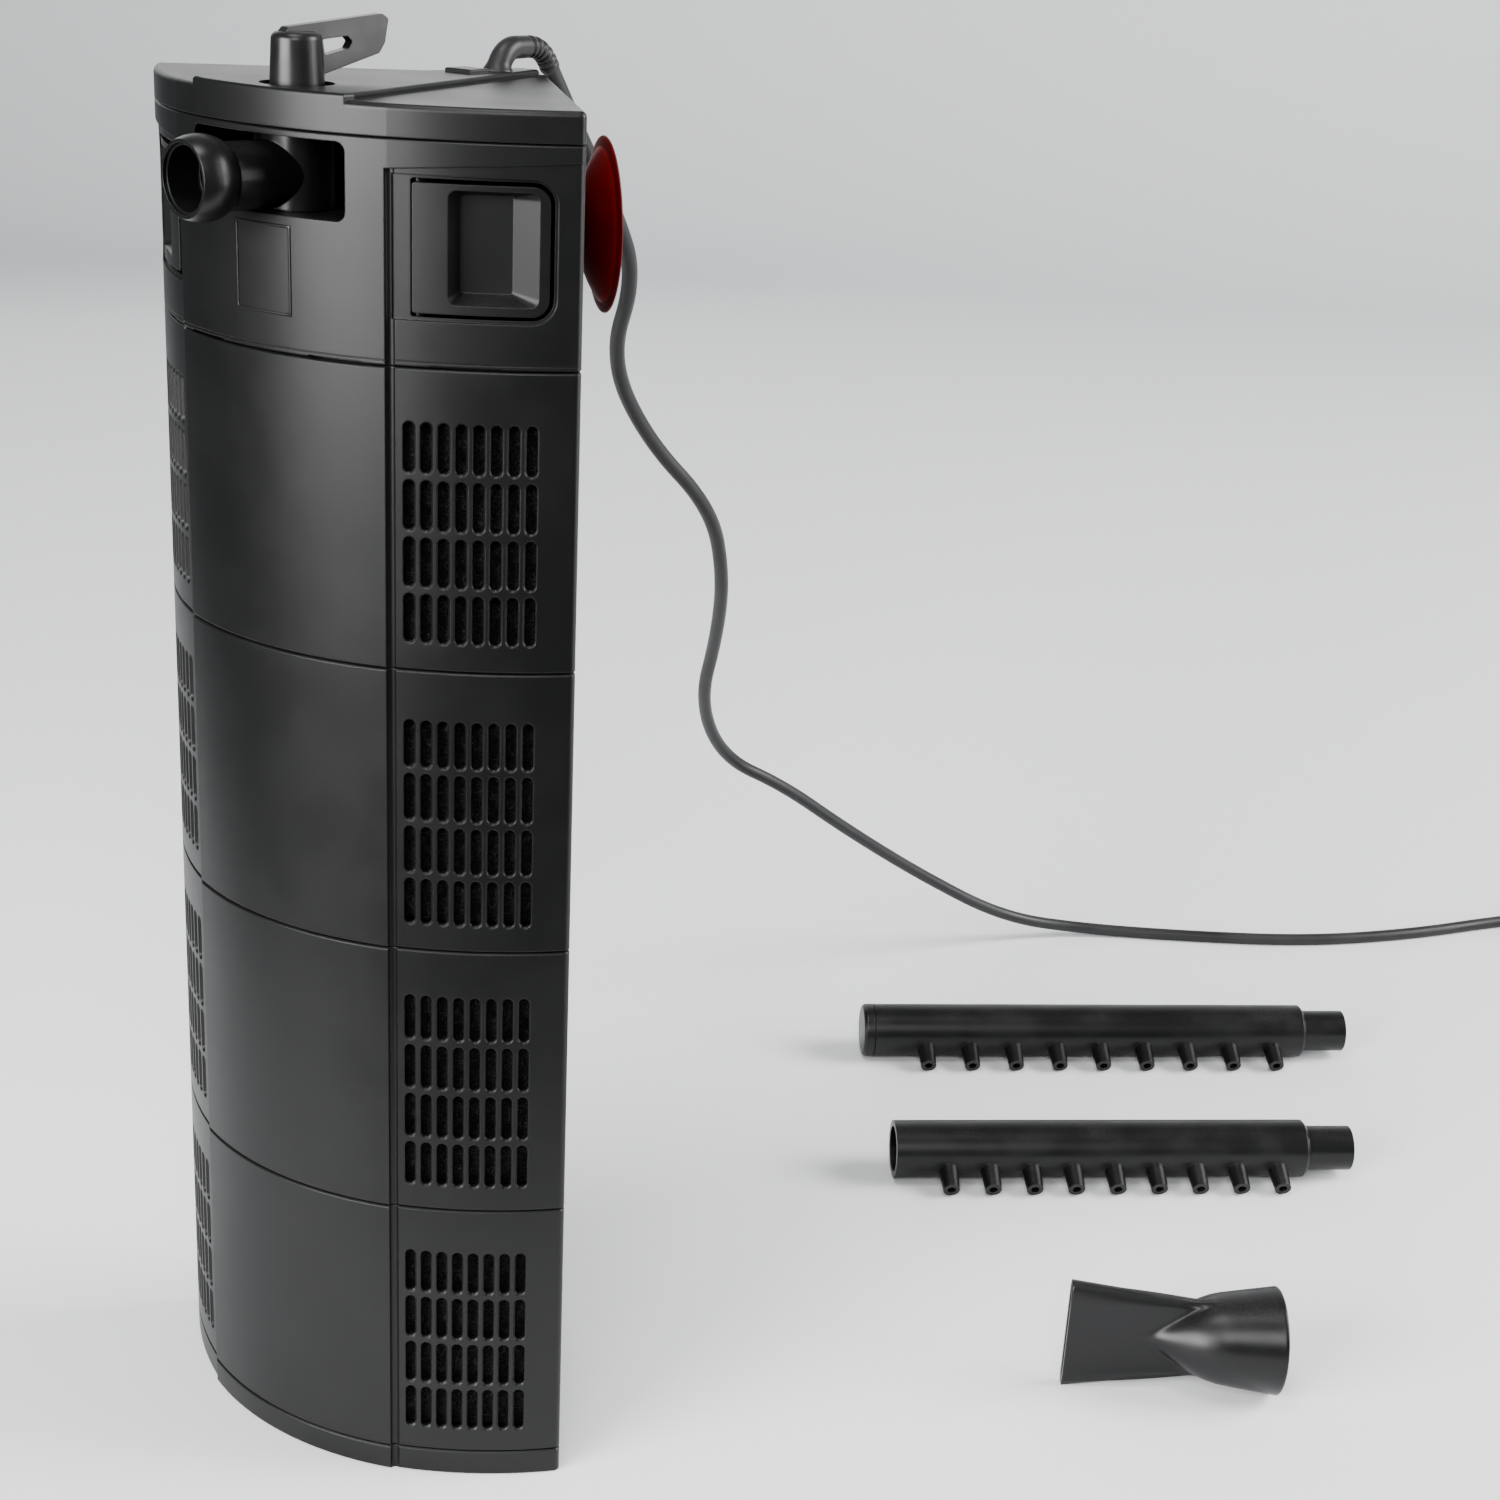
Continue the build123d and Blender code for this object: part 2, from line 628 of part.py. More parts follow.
def volute_housing():
    """Pump chamber, the duct forward of it and the socket that the outlet drum turns in."""
    socket_outer = drum_neck_radius + running_gap + volute_wall
    chamber_floor = volute_floor + volute_wall
    body = cylinder(volute_radius + volute_wall, volute_floor, volute_top)
    duct_outer = duct_half_width + volute_wall
    body = body + block(-duct_outer, duct_outer, outlet_axis_y, 0, volute_floor, volute_top)
    body = body + cylinder(socket_outer, volute_floor, window_bottom - well_plate, 0, outlet_axis_y)
    body = body - cylinder(volute_radius, chamber_floor, volute_top + 1)
    body = body - block(-duct_half_width, duct_half_width, outlet_axis_y, 0, chamber_floor, volute_top - volute_wall)
    body = body - cylinder(drum_neck_radius + running_gap, chamber_floor, head_top, 0, outlet_axis_y)
    body = body - cylinder(eye_radius, volute_floor - 1, volute_top)
    for turn in (90, 210, 330):
        arm = Rot(0, 0, turn) * block(0, eye_radius + 1, -0.8, 0.8, volute_floor, chamber_floor)
        body = body + arm
    body = body + cylinder(bearing_radius + 1.2, volute_floor, chamber_floor)
    return body - cylinder(bearing_radius, volute_floor - 1, chamber_floor + 1)


def lower_bearing():
    """Rubber bush in the chamber's inlet."""
    return ring(bearing_radius, shaft_radius, volute_floor - 0.6, volute_floor + volute_wall + 0.2)


def upper_bearing():
    """Rubber disc at the closed end of the rotor's bore."""
    bore_end = volute_top + rotor_length + 4.0
    disc = cylinder(rotor_bore_radius, bore_end - 3.0, bore_end)
    return disc - cylinder(shaft_radius, volute_floor, bore_end - 1.0)


def pump_shaft():
    """Fixed ceramic pin between the two bearings."""
    return cylinder(shaft_radius, volute_floor - 0.6, volute_top + rotor_length + 3.0)


def motor_block():
    """Motor sealed in resin, with the rotor's blind bore and two screw ears."""
    bore_end = volute_top + rotor_length + 4.0
    body = block(-motor_half_width, motor_half_width, motor_front_y, motor_back_y, volute_top, motor_top)
    body = body & prism(inset_plan(inner_inset + 1.2), volute_top, motor_top)
    body = fillet(body.edges().filter_by(Axis.Z), 2.0)
    body = chamfer(body.edges().filter_by_position(Axis.Z, motor_top, motor_top), 1.2)
    body = body - cylinder(rotor_bore_radius, volute_top - 1, bore_end)
    for side in (1, -1):
        ear_end = side * (boss_x + boss_radius)
        ear = block(min(0.8 * side * motor_half_width, ear_end), max(0.8 * side * motor_half_width, ear_end),
                    boss_y - boss_radius, boss_y + boss_radius, volute_top, volute_top + 2.6)
        ear = ear - cylinder(screw_radius, volute_top - 1, volute_top + 4, side * boss_x, boss_y)
        body = body + ear
    return body - cylinder(rotor_bore_radius, volute_top - 1, bore_end)


def motor_screws():
    """The two screws that hold the motor block down."""
    head_bottom = volute_top + 2.6
    screws = []
    for side in (1, -1):
        shank = cylinder(screw_radius, volute_top - 9, head_bottom, side * boss_x, boss_y)
        head = cylinder(screw_head_radius, head_bottom, head_bottom + screw_head_height, side * boss_x, boss_y)
        slot = block(side * boss_x - screw_head_radius, side * boss_x + screw_head_radius, boss_y - 0.35, boss_y + 0.35,
                     head_bottom + screw_head_height - 0.9, head_bottom + screw_head_height + 1)
        screws.append(shank + head - slot)
    return Compound(screws)


def rotor_magnet():
    """Magnet that turns on the shaft inside the motor block."""
    bottom = volute_top + 0.8
    return ring(rotor_radius, shaft_radius + shaft_clearance, bottom, bottom + rotor_length - 1.2)


def impeller():
    """Bladed wheel under the magnet."""
    bottom = volute_floor + volute_wall + 0.6
    top = bottom + impeller_height
    body = cylinder(3.6, bottom, volute_top + 0.8)
    body = body + cylinder(impeller_radius, top - 1.0, top)
    for index in range(impeller_blades):
        blade = block(2.0, impeller_radius, -blade_thickness / 2, blade_thickness / 2, bottom, top - 0.5)
        body = body + Rot(0, 0, index * 360 / impeller_blades) * blade
    return body - cylinder(shaft_radius + shaft_clearance, bottom - 1, volute_top + 2)


def outlet_well():
    """Lining behind the outlet window, which keeps the pump out of sight."""
    low = window_bottom - well_plate
    top = head_top - cover_spigot - 0.8
    depth = window_half_width + well_plate
    back = outlet_axis_y + drum_radius + 0.6
    room = prism(inset_plan(inner_inset), low, top)
    body = room & block(-depth, depth, -groove_depth_y * 2, back + well_plate, low, top)
    body = body - block(-window_half_width, window_half_width, -groove_depth_y * 2, back, window_bottom, top + 1)
    return body - cylinder(drum_neck_radius + running_gap, low - 1, window_bottom + 1, 0, outlet_axis_y)


# ---------- Outlet ----------
def at_outlet(shape):
    """Turns a shape made facing -Y about the outlet's axis to the nozzle's direction at rest."""
    return Pos(0, outlet_axis_y, 0) * Rot(0, 0, outlet_swing_rest) * shape


def nozzle_bar(radius, start, end):
    """A level rod along the nozzle, between two distances from the swing axis, made facing -Y."""
    low_aligned = (Align.CENTER, Align.CENTER, Align.MIN)
    return Pos(0, -start, outlet_height) * Rot(90, 0, 0) * Cylinder(radius, end - start, align=low_aligned)


def outlet_drum():
    """Turning outlet in one piece: neck, drum, hub, tube and ball."""
    bottom = volute_top + 0.6
    drum_bottom = window_bottom + running_gap
    top = window_top - running_gap
    body = cylinder(drum_neck_radius, bottom, drum_bottom) + cylinder(drum_radius, drum_bottom, top)
    body = body + cylinder(hub_radius, top, cover_top + 1.6)
    body = body + nozzle_bar(nozzle_tube_radius, 0, nozzle_reach)
    ball = Pos(0, -nozzle_reach, outlet_height) * Sphere(nozzle_ball_radius)
    mouth = nozzle_reach + nozzle_mouth_offset
    body = body + (ball - nozzle_bar(nozzle_ball_radius, mouth, mouth + nozzle_ball_radius))
    body = body - cylinder(drum_neck_radius - drum_wall, bottom - 1, top - drum_wall)
    body = body - nozzle_bar(nozzle_tube_radius - nozzle_tube_wall, 0, mouth)
    body = body - nozzle_bar(nozzle_bore_radius + liner_wall, nozzle_reach - liner_depth, mouth + 1)
    return at_outlet(body) - drum_seal()


def nozzle_liner():
    """Thin sleeve inside the ball. Its bore takes the spray bars."""
    mouth = nozzle_reach + nozzle_mouth_offset
    sleeve = nozzle_bar(nozzle_bore_radius + liner_wall, nozzle_reach - liner_depth, mouth - liner_set_back)
    return at_outlet(sleeve - nozzle_bar(nozzle_bore_radius, nozzle_reach - liner_depth - 1, mouth))


def drum_seal():
    """O-ring on the drum's neck."""
    ring_radius = drum_neck_radius + running_gap - seal_gap - seal_radius
    return Pos(0, outlet_axis_y, volute_top + 0.6 + seal_height) * Torus(ring_radius, seal_radius)


def knob_lever():
    """Tapered knob with its pointer lever, which lies opposite to the nozzle."""
    base = cover_top - knob_recess_depth + running_gap
    top = cover_top + knob_height
    post = cone(knob_base_radius, knob_top_radius, base, top)
    post = fillet(post.edges().filter_by_position(Axis.Z, top, top), knob_top_round)
    tip = top + lever_rise
    outline = [(-6.4, base + 2.0), (-6.2, top - 1.6), (-3.4, top + 1.2), (lever_reach - 2.0, tip),
               (lever_reach, tip - 1.2), (lever_reach - 1.2, tip - 7.2), (lever_reach - 3.0, tip - 9.8),
               (6.2, base + 2.4)]
    slot = [(7.0, top - 2.0), (14.7, top - 1.3), (16.2, top - 2.7), (15.0, top - 4.4), (7.6, top - 6.0)]
    plate = extrude(Plane.YZ * make_face(Polyline(*outline, close=True)), lever_thickness / 2, both=True)
    plate = fillet(plate.edges().filter_by(Axis.X), 1.0)
    hole = extrude(Plane.YZ * make_face(Polyline(*slot, close=True)), lever_thickness, both=True)
    hole = fillet(hole.edges().filter_by(Axis.X), 0.5)
    body = post + (plate - hole)
    return at_outlet(body - cylinder(hub_radius, base - 1, cover_top + 1.6))


# ---------- Cover ----------
def cover_shell():
    """Lid of the pump head, with its raised middle sector, knob recess and cable hole."""
    side_top = cover_top - fan_step
    plan = rounded_plan(0)
    body = prism(plan, head_top, side_top)
    body = fillet(body.edges().filter_by_position(Axis.Z, side_top, side_top), cover_edge_round)
    half = fan_half_width
    back = fan_back_half_width
    sector = [(half, -back_corner_y), (half, -groove_depth_y), (back, fan_back_y), (-back, fan_back_y),
              (-half, -groove_depth_y), (-half, -back_corner_y)]
    fan = prism(plan, head_top + 2, cover_top) & prism(make_face(Polyline(*sector, close=True)), head_top, cover_top)
    fan = fillet(fan.edges().filter_by_position(Axis.Z, cover_top, cover_top), 0.9)
    body = body + fan
    body = body - prism(inset_plan(wall), head_top - 1, side_top - cover_plate)
    spigot = prism(inset_plan(inner_inset + slip), head_top - cover_spigot, head_top + 3)
    spigot = spigot - prism(inset_plan(inner_inset + slip + collar_wall), head_top - cover_spigot - 1, head_top + 4)
    shelf = prism(inset_plan(wall - 0.3), head_top, head_top + 1.6) - prism(
        inset_plan(inner_inset + slip + collar_wall), head_top - 1, head_top + 4)
    body = body + spigot + shelf
    body = body - cylinder(knob_recess_radius, cover_top - knob_recess_depth, cover_top + 2, 0, outlet_axis_y)
    body = body - cylinder(hub_radius + running_gap, head_top, cover_top + 2, 0, outlet_axis_y)
    body = body - cylinder(guide_radius + shaft_clearance, head_top, cover_top + 2, 0, guide_exit_y)
    tab = block(-4.5, 4.5, guide_exit_y - 17, guide_exit_y - 9, cover_top - 0.5, cover_top + 1.2)
    return body + fillet(tab.edges().filter_by_position(Axis.Z, cover_top + 1.2, cover_top + 1.2), 0.5)


# ---------- Suction cups ----------
def suction_cup():
    """Right suction cup, with its stem through the flat and the button inside it."""
    rim = cup_stand_off
    back = rim - cup_rim_thickness
    button = -(inner_inset + cup_button_thickness)
    outline = [(0, button), (cup_button_radius, button), (cup_button_radius, -inner_inset),
               (cup_stem_radius, -inner_inset), (cup_stem_radius, 0), (cup_neck_radius, 0), (cup_neck_radius, 3.0),
               (cup_radius * 0.55, back - 4.6), (cup_radius * 0.85, back - 1.6), (cup_radius, back),
               (cup_radius, rim), (cup_radius - 1.2, rim), (cup_radius * 0.6, rim - cup_hollow * 0.7),
               (0, rim - cup_hollow)]
    profile = make_face(Polyline(*outline, close=True))
    solid = revolve(Plane.XZ * profile, Axis.Z)
    return cup_place * solid


# ---------- Cable ----------
def cable_guide():
    """Moulded elbow that stands on the cover and turns the cable over the back corner."""
    top = cover_top + guide_rise
    bend = Vector(0, guide_exit_y + guide_reach, top)
    lean = radians(guide_lean)
    end = bend + Vector(0, cos(lean), -sin(lean)) * guide_tail
    start = Vector(0, guide_exit_y, cover_top - guide_foot_depth)
    path = FilletPolyline(start, Vector(0, guide_exit_y, top), bend, end, radius=[7.0, 10.0])
    body = sweep(Plane(origin=start, z_dir=(0, 0, 1)) * Circle(guide_radius), path)
    return body + cone(guide_base_radius, guide_radius, cover_top, cover_top + 2.0, 0, guide_exit_y)


def cable_lead():
    """Cable inside the head, from the motor block up to the guide."""
    return cylinder(cable_radius, motor_top, cover_top - guide_foot_depth, 0, guide_exit_y)


def route_radii():
    """The largest arc that the two runs beside each corner of the cable's route leave room for."""
    points = [Vector(*point) for point in cable_route]
    radii = []
    for before, here, after in zip(points, points[1:], points[2:]):
        half_turn = radians((here - before).get_angle(after - here) / 2)
        shorter = min((here - before).length, (after - here).length)
        radii.append(0.45 * shorter / tan(half_turn))
    return radii


def mains_cable():
    """The cable from the guide to the coil: straight runs joined by tangent arcs."""
    radii = route_radii()
    print("cable radii", [round(radius, 1) for radius in radii])
    path = FilletPolyline(*cable_route, radius=radii)
    start = Vector(*cable_route[0])
    along = Vector(*cable_route[1]) - start
    body = sweep(Plane(origin=start, z_dir=along) * Circle(cable_radius), path)
    section = pi * cable_radius**2
    print("cable length", round(path.length, 1), "volume ratio", round(body.volume / (path.length * section), 4))
    return body


def cable_coil():
    """Outer shape of the coil that the rest of the cable is wound into."""
    outer = coil_turn_radius + cable_radius * 1.1
    inner = coil_turn_radius - cable_radius * (coil_turns_across * 2 - 1) * 1.02
    body = ring(outer, inner, 0, cable_radius * 2 * coil_layers, *coil_centre)
    return fillet(body.edges(), cable_radius * 0.8)


def at_plug(shape):
    """Moves a shape made along +X, with its cable end at x = 0, to where the plug lies beside the coil."""
    centre = Pos(coil_centre[0], coil_centre[1], plug_thickness / 2)
    return centre * Rot(0, 0, plug_direction) * Pos(cable_tail_length, coil_turn_radius, 0) * shape


def cable_tail():
    """The last of the cable, from the coil's outer turn to the plug."""
    return at_plug(x_cylinder(cable_radius, -cable_tail_length * 0.55, 0))


def plug_body():
    """Moulded two-pin plug with its strain relief."""
    tail = plug_relief_length
    end = tail + plug_body_length
    relief = Rot(0, 90, 0) * cone(plug_relief_radius, plug_tail_width / 2 - 1, 0, tail + 2)
    half_tail = plug_tail_width / 2
    half = plug_body_width / 2
    outline = [(tail, -half_tail), (tail + 12, -half), (end, -half), (end, half), (tail + 12, half),
               (tail, half_tail)]
    body = extrude(make_face(Polyline(*outline, close=True)), plug_thickness / 2, both=True)
    body = fillet(body.edges().filter_by(Axis.Z), plug_corner_radius)
    flat_edges = body.edges().filter_by_position(Axis.Z, plug_thickness / 2, plug_thickness / 2)
    flat_edges = flat_edges + body.edges().filter_by_position(Axis.Z, -plug_thickness / 2, -plug_thickness / 2)
    body = fillet(flat_edges, plug_corner_radius * 0.6) + relief
    for side in (1, -1):
        root = cylinder(plug_root_radius, end - plug_root_length, end + 1, 0, side * plug_pin_pitch / 2)
        body = body - Rot(0, 90, 0) * root
    return at_plug(body)


def plug_pins():
    """The plug's two pins, set into its body."""
    end = plug_relief_length + plug_body_length
    pins = []
    for side in (1, -1):
        pin = cylinder(plug_pin_radius, end, end + plug_pin_length, 0, side * plug_pin_pitch / 2)
        tip = pin.edges().filter_by_position(Axis.Z, end + plug_pin_length, end + plug_pin_length)
        root = cylinder(plug_root_radius, end - plug_root_length, end, 0, side * plug_pin_pitch / 2)
        pins.append(Rot(0, 90, 0) * (fillet(tip, plug_pin_radius * 0.6) + root))
    return at_plug(Compound(pins))


# ---------- Loose outlet pieces ----------
def lay_down(shape, middle, angle, length, height):
    """Lays a piece made along +X, from x = 0 to length, on the floor about its middle."""
    return Pos(middle[0], middle[1], height) * Rot(0, 0, angle) * Pos(-length / 2, 0, 0) * shape


def spray_bar(start, length, first_stub, stub_pitch):
    """A spray bar along +X from start to length, then its narrow end. Its jets point forward and down."""
    body = x_cylinder(bar_radius, start, length)
    shoulder = body.edges().filter_by_position(Axis.X, length, length)
    body = chamfer(shoulder, bar_shoulder_chamfer)
    body = body + x_cylinder(bar_end_radius, length - 1, length + bar_end_length)
    reach = bar_radius + stub_length
    stub_count = floor((length - stub_end_margin - first_stub) / stub_pitch) + 1
    for index in range(stub_count):
        stub = cone(stub_root_radius, stub_tip_radius, bar_radius - 1, reach)
        body = body + Pos(first_stub + index * stub_pitch, 0, 0) * Rot(90 + stub_dip, 0, 0) * stub
    body = body - x_cylinder(nozzle_bore_radius, start - 1, length - bar_end_wall)
    body = body - x_cylinder(bar_end_radius - bar_end_wall, length - 5, length + bar_end_length + 1)
    for index in range(stub_count):
        bore = cylinder(stub_bore_radius, 0, reach + 1)
        body = body - Pos(first_stub + index * stub_pitch, 0, 0) * Rot(90 + stub_dip, 0, 0) * bore
    return body


def spray_bar_long():
    """The longer bar, whose far end is closed by a separate cap."""
    bar = spray_bar(end_cap_length, long_bar_length, long_bar_first_stub, long_bar_stub_pitch)
    return lay_down(bar, long_bar_middle, bar_angle, long_bar_length + bar_end_length, bar_radius)


def spray_bar_end_cap():
    """Push-in cap of the longer bar."""
    body = x_cylinder(bar_radius, 0, end_cap_length - running_gap)
    body = fillet(body.edges().sort_by(Axis.X)[0], 1.6)
    body = body + x_cylinder(nozzle_bore_radius - running_gap, end_cap_length - 1, end_cap_length + end_cap_spigot)
    return lay_down(body, long_bar_middle, bar_angle, long_bar_length + bar_end_length, bar_radius)


def spray_bar_short():
    """The shorter bar. Its open far end takes the longer bar's narrow end."""
    bar = spray_bar(0, short_bar_length, short_bar_first_stub, short_bar_stub_pitch)
    return lay_down(bar, short_bar_middle, bar_angle, short_bar_length + bar_end_length, bar_radius)


def jet_round(grow):
    """Round part of the wide jet along +X, mouth at x = length, grown outwards by a wall or by nothing."""
    ball_bore = nozzle_ball_radius + running_gap
    seat = jet_length - jet_neck_at
    outline = [(jet_length - jet_point_at, 0), (jet_length - jet_point_at, jet_blade_thickness / 2 - jet_wall + grow),
               (seat, ball_bore + grow), (seat + 8, ball_bore + grow),
               (jet_length, jet_mouth_radius - jet_wall + grow), (jet_length, 0)]
    return revolve(make_face(Polyline(*outline, close=True)), Axis.X)


def jet_blade(half_width_start, half_width_end, thickness, start, end):
    """Tapered flat part of the wide jet, standing on edge."""
    outline = [(start, -half_width_start), (end, -half_width_end), (end, half_width_end), (start, half_width_start)]
    return extrude(Plane.XZ * make_face(Polyline(*outline, close=True)), thickness / 2, both=True)


def wide_jet_nozzle():
    """Fishtail nozzle that slips over the ball. It rests on its mouth's rim and on its blade's edge."""
    seat = jet_length - jet_neck_at
    half = jet_blade_width / 2
    body = jet_round(jet_wall) + jet_blade(half, jet_neck_radius, jet_blade_thickness, 0, seat)
    body = body - jet_round(0)
    slot = jet_blade(half - jet_wall, jet_neck_radius - jet_wall * 1.5, jet_blade_thickness - jet_wall * 2, -1, seat)
    body = body - slot
    lean = degrees(asin((half - jet_mouth_radius) / jet_length))
    body = Pos(0, 0, half) * Rot(0, lean, 0) * body
    return lay_down(body, jet_middle, jet_angle, jet_length, 0)


# ---------- Write the pieces ----------
def main():
    print("stack heights", base_height, head_foot, head_top, cover_top)
    save(base_tray(), "base_tray")
    shell = module_shell()
    riser = riser_tube()
    foam = foam_block()
    for number in range(1, module_count + 1):
        foot = head_foot - number * module_height
        save(Pos(0, 0, foot) * shell, f"module_shell_{number}")
        save(Pos(0, 0, foot) * riser, f"riser_tube_{number}")
        save(Pos(0, 0, foot) * foam, f"foam_block_{number}")
    save(head_shell(), "head_shell")
    tongue = latch_tongue()
    save(tongue, "latch_right")
    save(mirrored(tongue), "latch_left")
    save(inlet_bush(), "inlet_bush")
    save(volute_housing(), "volute_housing")
    save(lower_bearing(), "lower_bearing")
    save(upper_bearing(), "upper_bearing")
    save(pump_shaft(), "pump_shaft")
    save(motor_block(), "motor_block")
    save(motor_screws(), "motor_screws")
    save(rotor_magnet(), "rotor_magnet")
    save(impeller(), "impeller")
    save(outlet_well(), "outlet_well")
    save(outlet_drum(), "outlet_drum")
    save(nozzle_liner(), "nozzle_liner")
    save(drum_seal(), "drum_seal")
    save(knob_lever(), "knob_lever")
    save(cover_shell(), "cover_shell")
    cup = suction_cup()
    save(cup, "suction_cup_right")
    save(mirrored(cup), "suction_cup_left")
    save(cable_guide(), "cable_guide")
    save(cable_lead(), "cable_lead")
    save(mains_cable(), "mains_cable")
    save(cable_coil(), "cable_coil")
    save(cable_tail(), "cable_tail")
    save(plug_body(), "plug_body")
    save(plug_pins(), "plug_pins")
    save(spray_bar_long(), "spray_bar_long")
    save(spray_bar_end_cap(), "spray_bar_end_cap")
    save(spray_bar_short(), "spray_bar_short")
    save(wide_jet_nozzle(), "wide_jet_nozzle")


main()
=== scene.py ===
# %% [markdown]
# # A modular corner filter for an aquarium
#
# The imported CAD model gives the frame: every joint, size and place. This lesson dresses it: it gives
# each surface its finish, rebuilds the soft and round pieces as smooth meshes, and lays the mains
# cable. Everything is in metres, +Z up. The filter's centre panel faces -Y and its back corner points
# to +Y.

# %%
import json
from math import asin, atan2, cos, pi, radians, sin, sqrt, tau

import bmesh
import bpy
from mathutils import Matrix, Vector, noise


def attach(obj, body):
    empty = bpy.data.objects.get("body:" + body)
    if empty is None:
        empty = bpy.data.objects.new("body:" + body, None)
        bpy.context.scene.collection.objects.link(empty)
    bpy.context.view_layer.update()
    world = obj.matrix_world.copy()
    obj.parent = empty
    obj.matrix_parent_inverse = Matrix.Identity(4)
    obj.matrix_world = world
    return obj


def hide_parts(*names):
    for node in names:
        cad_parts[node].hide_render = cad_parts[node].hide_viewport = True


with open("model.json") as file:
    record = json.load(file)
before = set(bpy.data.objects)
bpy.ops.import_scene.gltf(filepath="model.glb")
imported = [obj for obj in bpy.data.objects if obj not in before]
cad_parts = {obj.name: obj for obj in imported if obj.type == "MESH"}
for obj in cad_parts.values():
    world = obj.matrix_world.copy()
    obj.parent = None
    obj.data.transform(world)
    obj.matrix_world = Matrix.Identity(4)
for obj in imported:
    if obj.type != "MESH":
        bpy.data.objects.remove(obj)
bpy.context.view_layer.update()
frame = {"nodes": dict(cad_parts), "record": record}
nodes = frame["nodes"]
MM = 0.001  # one millimetre in metres
MICRON = 1e-6

# %% [markdown]
# ## Camera
#
# The camera stands in front and to the right of the filter and looks down a little, with a small roll.
# Its turn is built up as a person would turn a tripod: heading first, then dip, then roll.

# %%
camera_place = Vector((0.4719, -0.5016, 0.4525))
camera_heading = radians(34.36)
camera_dip = radians(19.44)
camera_roll = radians(2.60)
camera_lens = 60.6
sensor_width = 36


def add_camera():
    """The main view: placed, turned to its heading, dipped and rolled."""
    data = bpy.data.cameras.new("camera")
    data.lens = camera_lens
    data.sensor_width = sensor_width
    data.clip_start = 0.01
    camera = bpy.data.objects.new("camera", data)
    turn = Matrix.Rotation(camera_heading, 4, "Z") @ Matrix.Rotation(pi / 2 - camera_dip, 4, "X")
    camera.matrix_world = Matrix.Translation(camera_place) @ turn @ Matrix.Rotation(camera_roll, 4, "Z")
    bpy.context.scene.collection.objects.link(camera)
    bpy.context.scene.camera = camera
    return camera


camera = add_camera()
looks_along = camera.matrix_world.to_quaternion() @ Vector((0, 0, -1))
print("camera looks along", [round(value, 3) for value in looks_along])

# %% [markdown]
# ## Shader nodes in short
#
# A finish is a small net of shader nodes. Written out in full, each node takes several lines, so a few
# helpers shorten that. `put` adds one node and fills its sockets: a value is set on the socket itself,
# and a socket of another node is linked to it. `calc` is one step of arithmetic, `ramp` stretches a
# value with soft ends, and `blend_colours` mixes two colours by a mask.

# %%


def fill(tree, socket, value):
    """Links a socket to another one, or sets its value."""
    if isinstance(value, bpy.types.NodeSocket):
        tree.links.new(value, socket)
    else:
        socket.default_value = value


def put(tree, kind, settings=None, **sockets):
    """Adds one shader node. Socket names are written with _ for a space."""
    item = tree.nodes.new("ShaderNode" + kind)
    for key, value in (settings or {}).items():
        setattr(item, key, value)
    for key, value in sockets.items():
        fill(tree, item.inputs[key.replace("_", " ")], value)
    return item


def calc(tree, operation, *values, clamp=False):
    """One Math node; returns its result socket."""
    item = tree.nodes.new("ShaderNodeMath")
    item.operation = operation
    item.use_clamp = clamp
    for socket, value in zip(item.inputs, values):
        fill(tree, socket, value)
    return item.outputs[0]


def ramp(tree, value, low, high, start=0.0, end=1.0):
    """Value from low to high is stretched, with soft ends, to start to end."""
    item = put(tree, "MapRange", {"interpolation_type": "SMOOTHSTEP"}, Value=value,
               From_Min=low, From_Max=high, To_Min=start, To_Max=end)
    return item.outputs["Result"]


def blend_colours(tree, share, first, second):
    """Mixes two colours by a mask."""
    item = tree.nodes.new("ShaderNodeMix")
    item.data_type = "RGBA"
    fill(tree, item.inputs[0], share)
    fill(tree, item.inputs[6], first if isinstance(first, bpy.types.NodeSocket) else (*first, 1))
    fill(tree, item.inputs[7], second if isinstance(second, bpy.types.NodeSocket) else (*second, 1))
    return item.outputs[2]


print("node helpers:", [helper.__name__ for helper in (fill, put, calc, ramp, blend_colours)])

# %% [markdown]
# ## Stage
#
# A pale floor curves up into a pale wall far behind, in one sheet without a corner. Black plastic shows
# its shape only by what it mirrors, so the paint matters as much as the lights: a short way in front of
# the filter and on its left it fades into the even grey of the sky, and the panels that face that way
# mirror a darker room. The grey is a weak glow, which the lamps can't brighten. A dark paint there
# would turn pale near them.

# %%
bpy.context.scene.view_settings.view_transform = "AgX"
bpy.context.scene.view_settings.look = "AgX - Medium High Contrast"
pale_paint = (0.90, 0.905, 0.915)
no_light = (0.0, 0.0, 0.0)
sky_tint = (0.94, 0.97, 1.0)
sky_strength = 0.14
pale_front = -0.2      # where the pale paint ends in front
pale_left = -0.26      # its left edge at the front
pale_spread = 0.48     # how fast that edge runs outwards on its way back
paint_fade = 0.12      # width over which it fades
floor_reach = 6.0
floor_back = 2.2
cove_radius = 0.8
cove_steps = 12
wall_height = 5.0


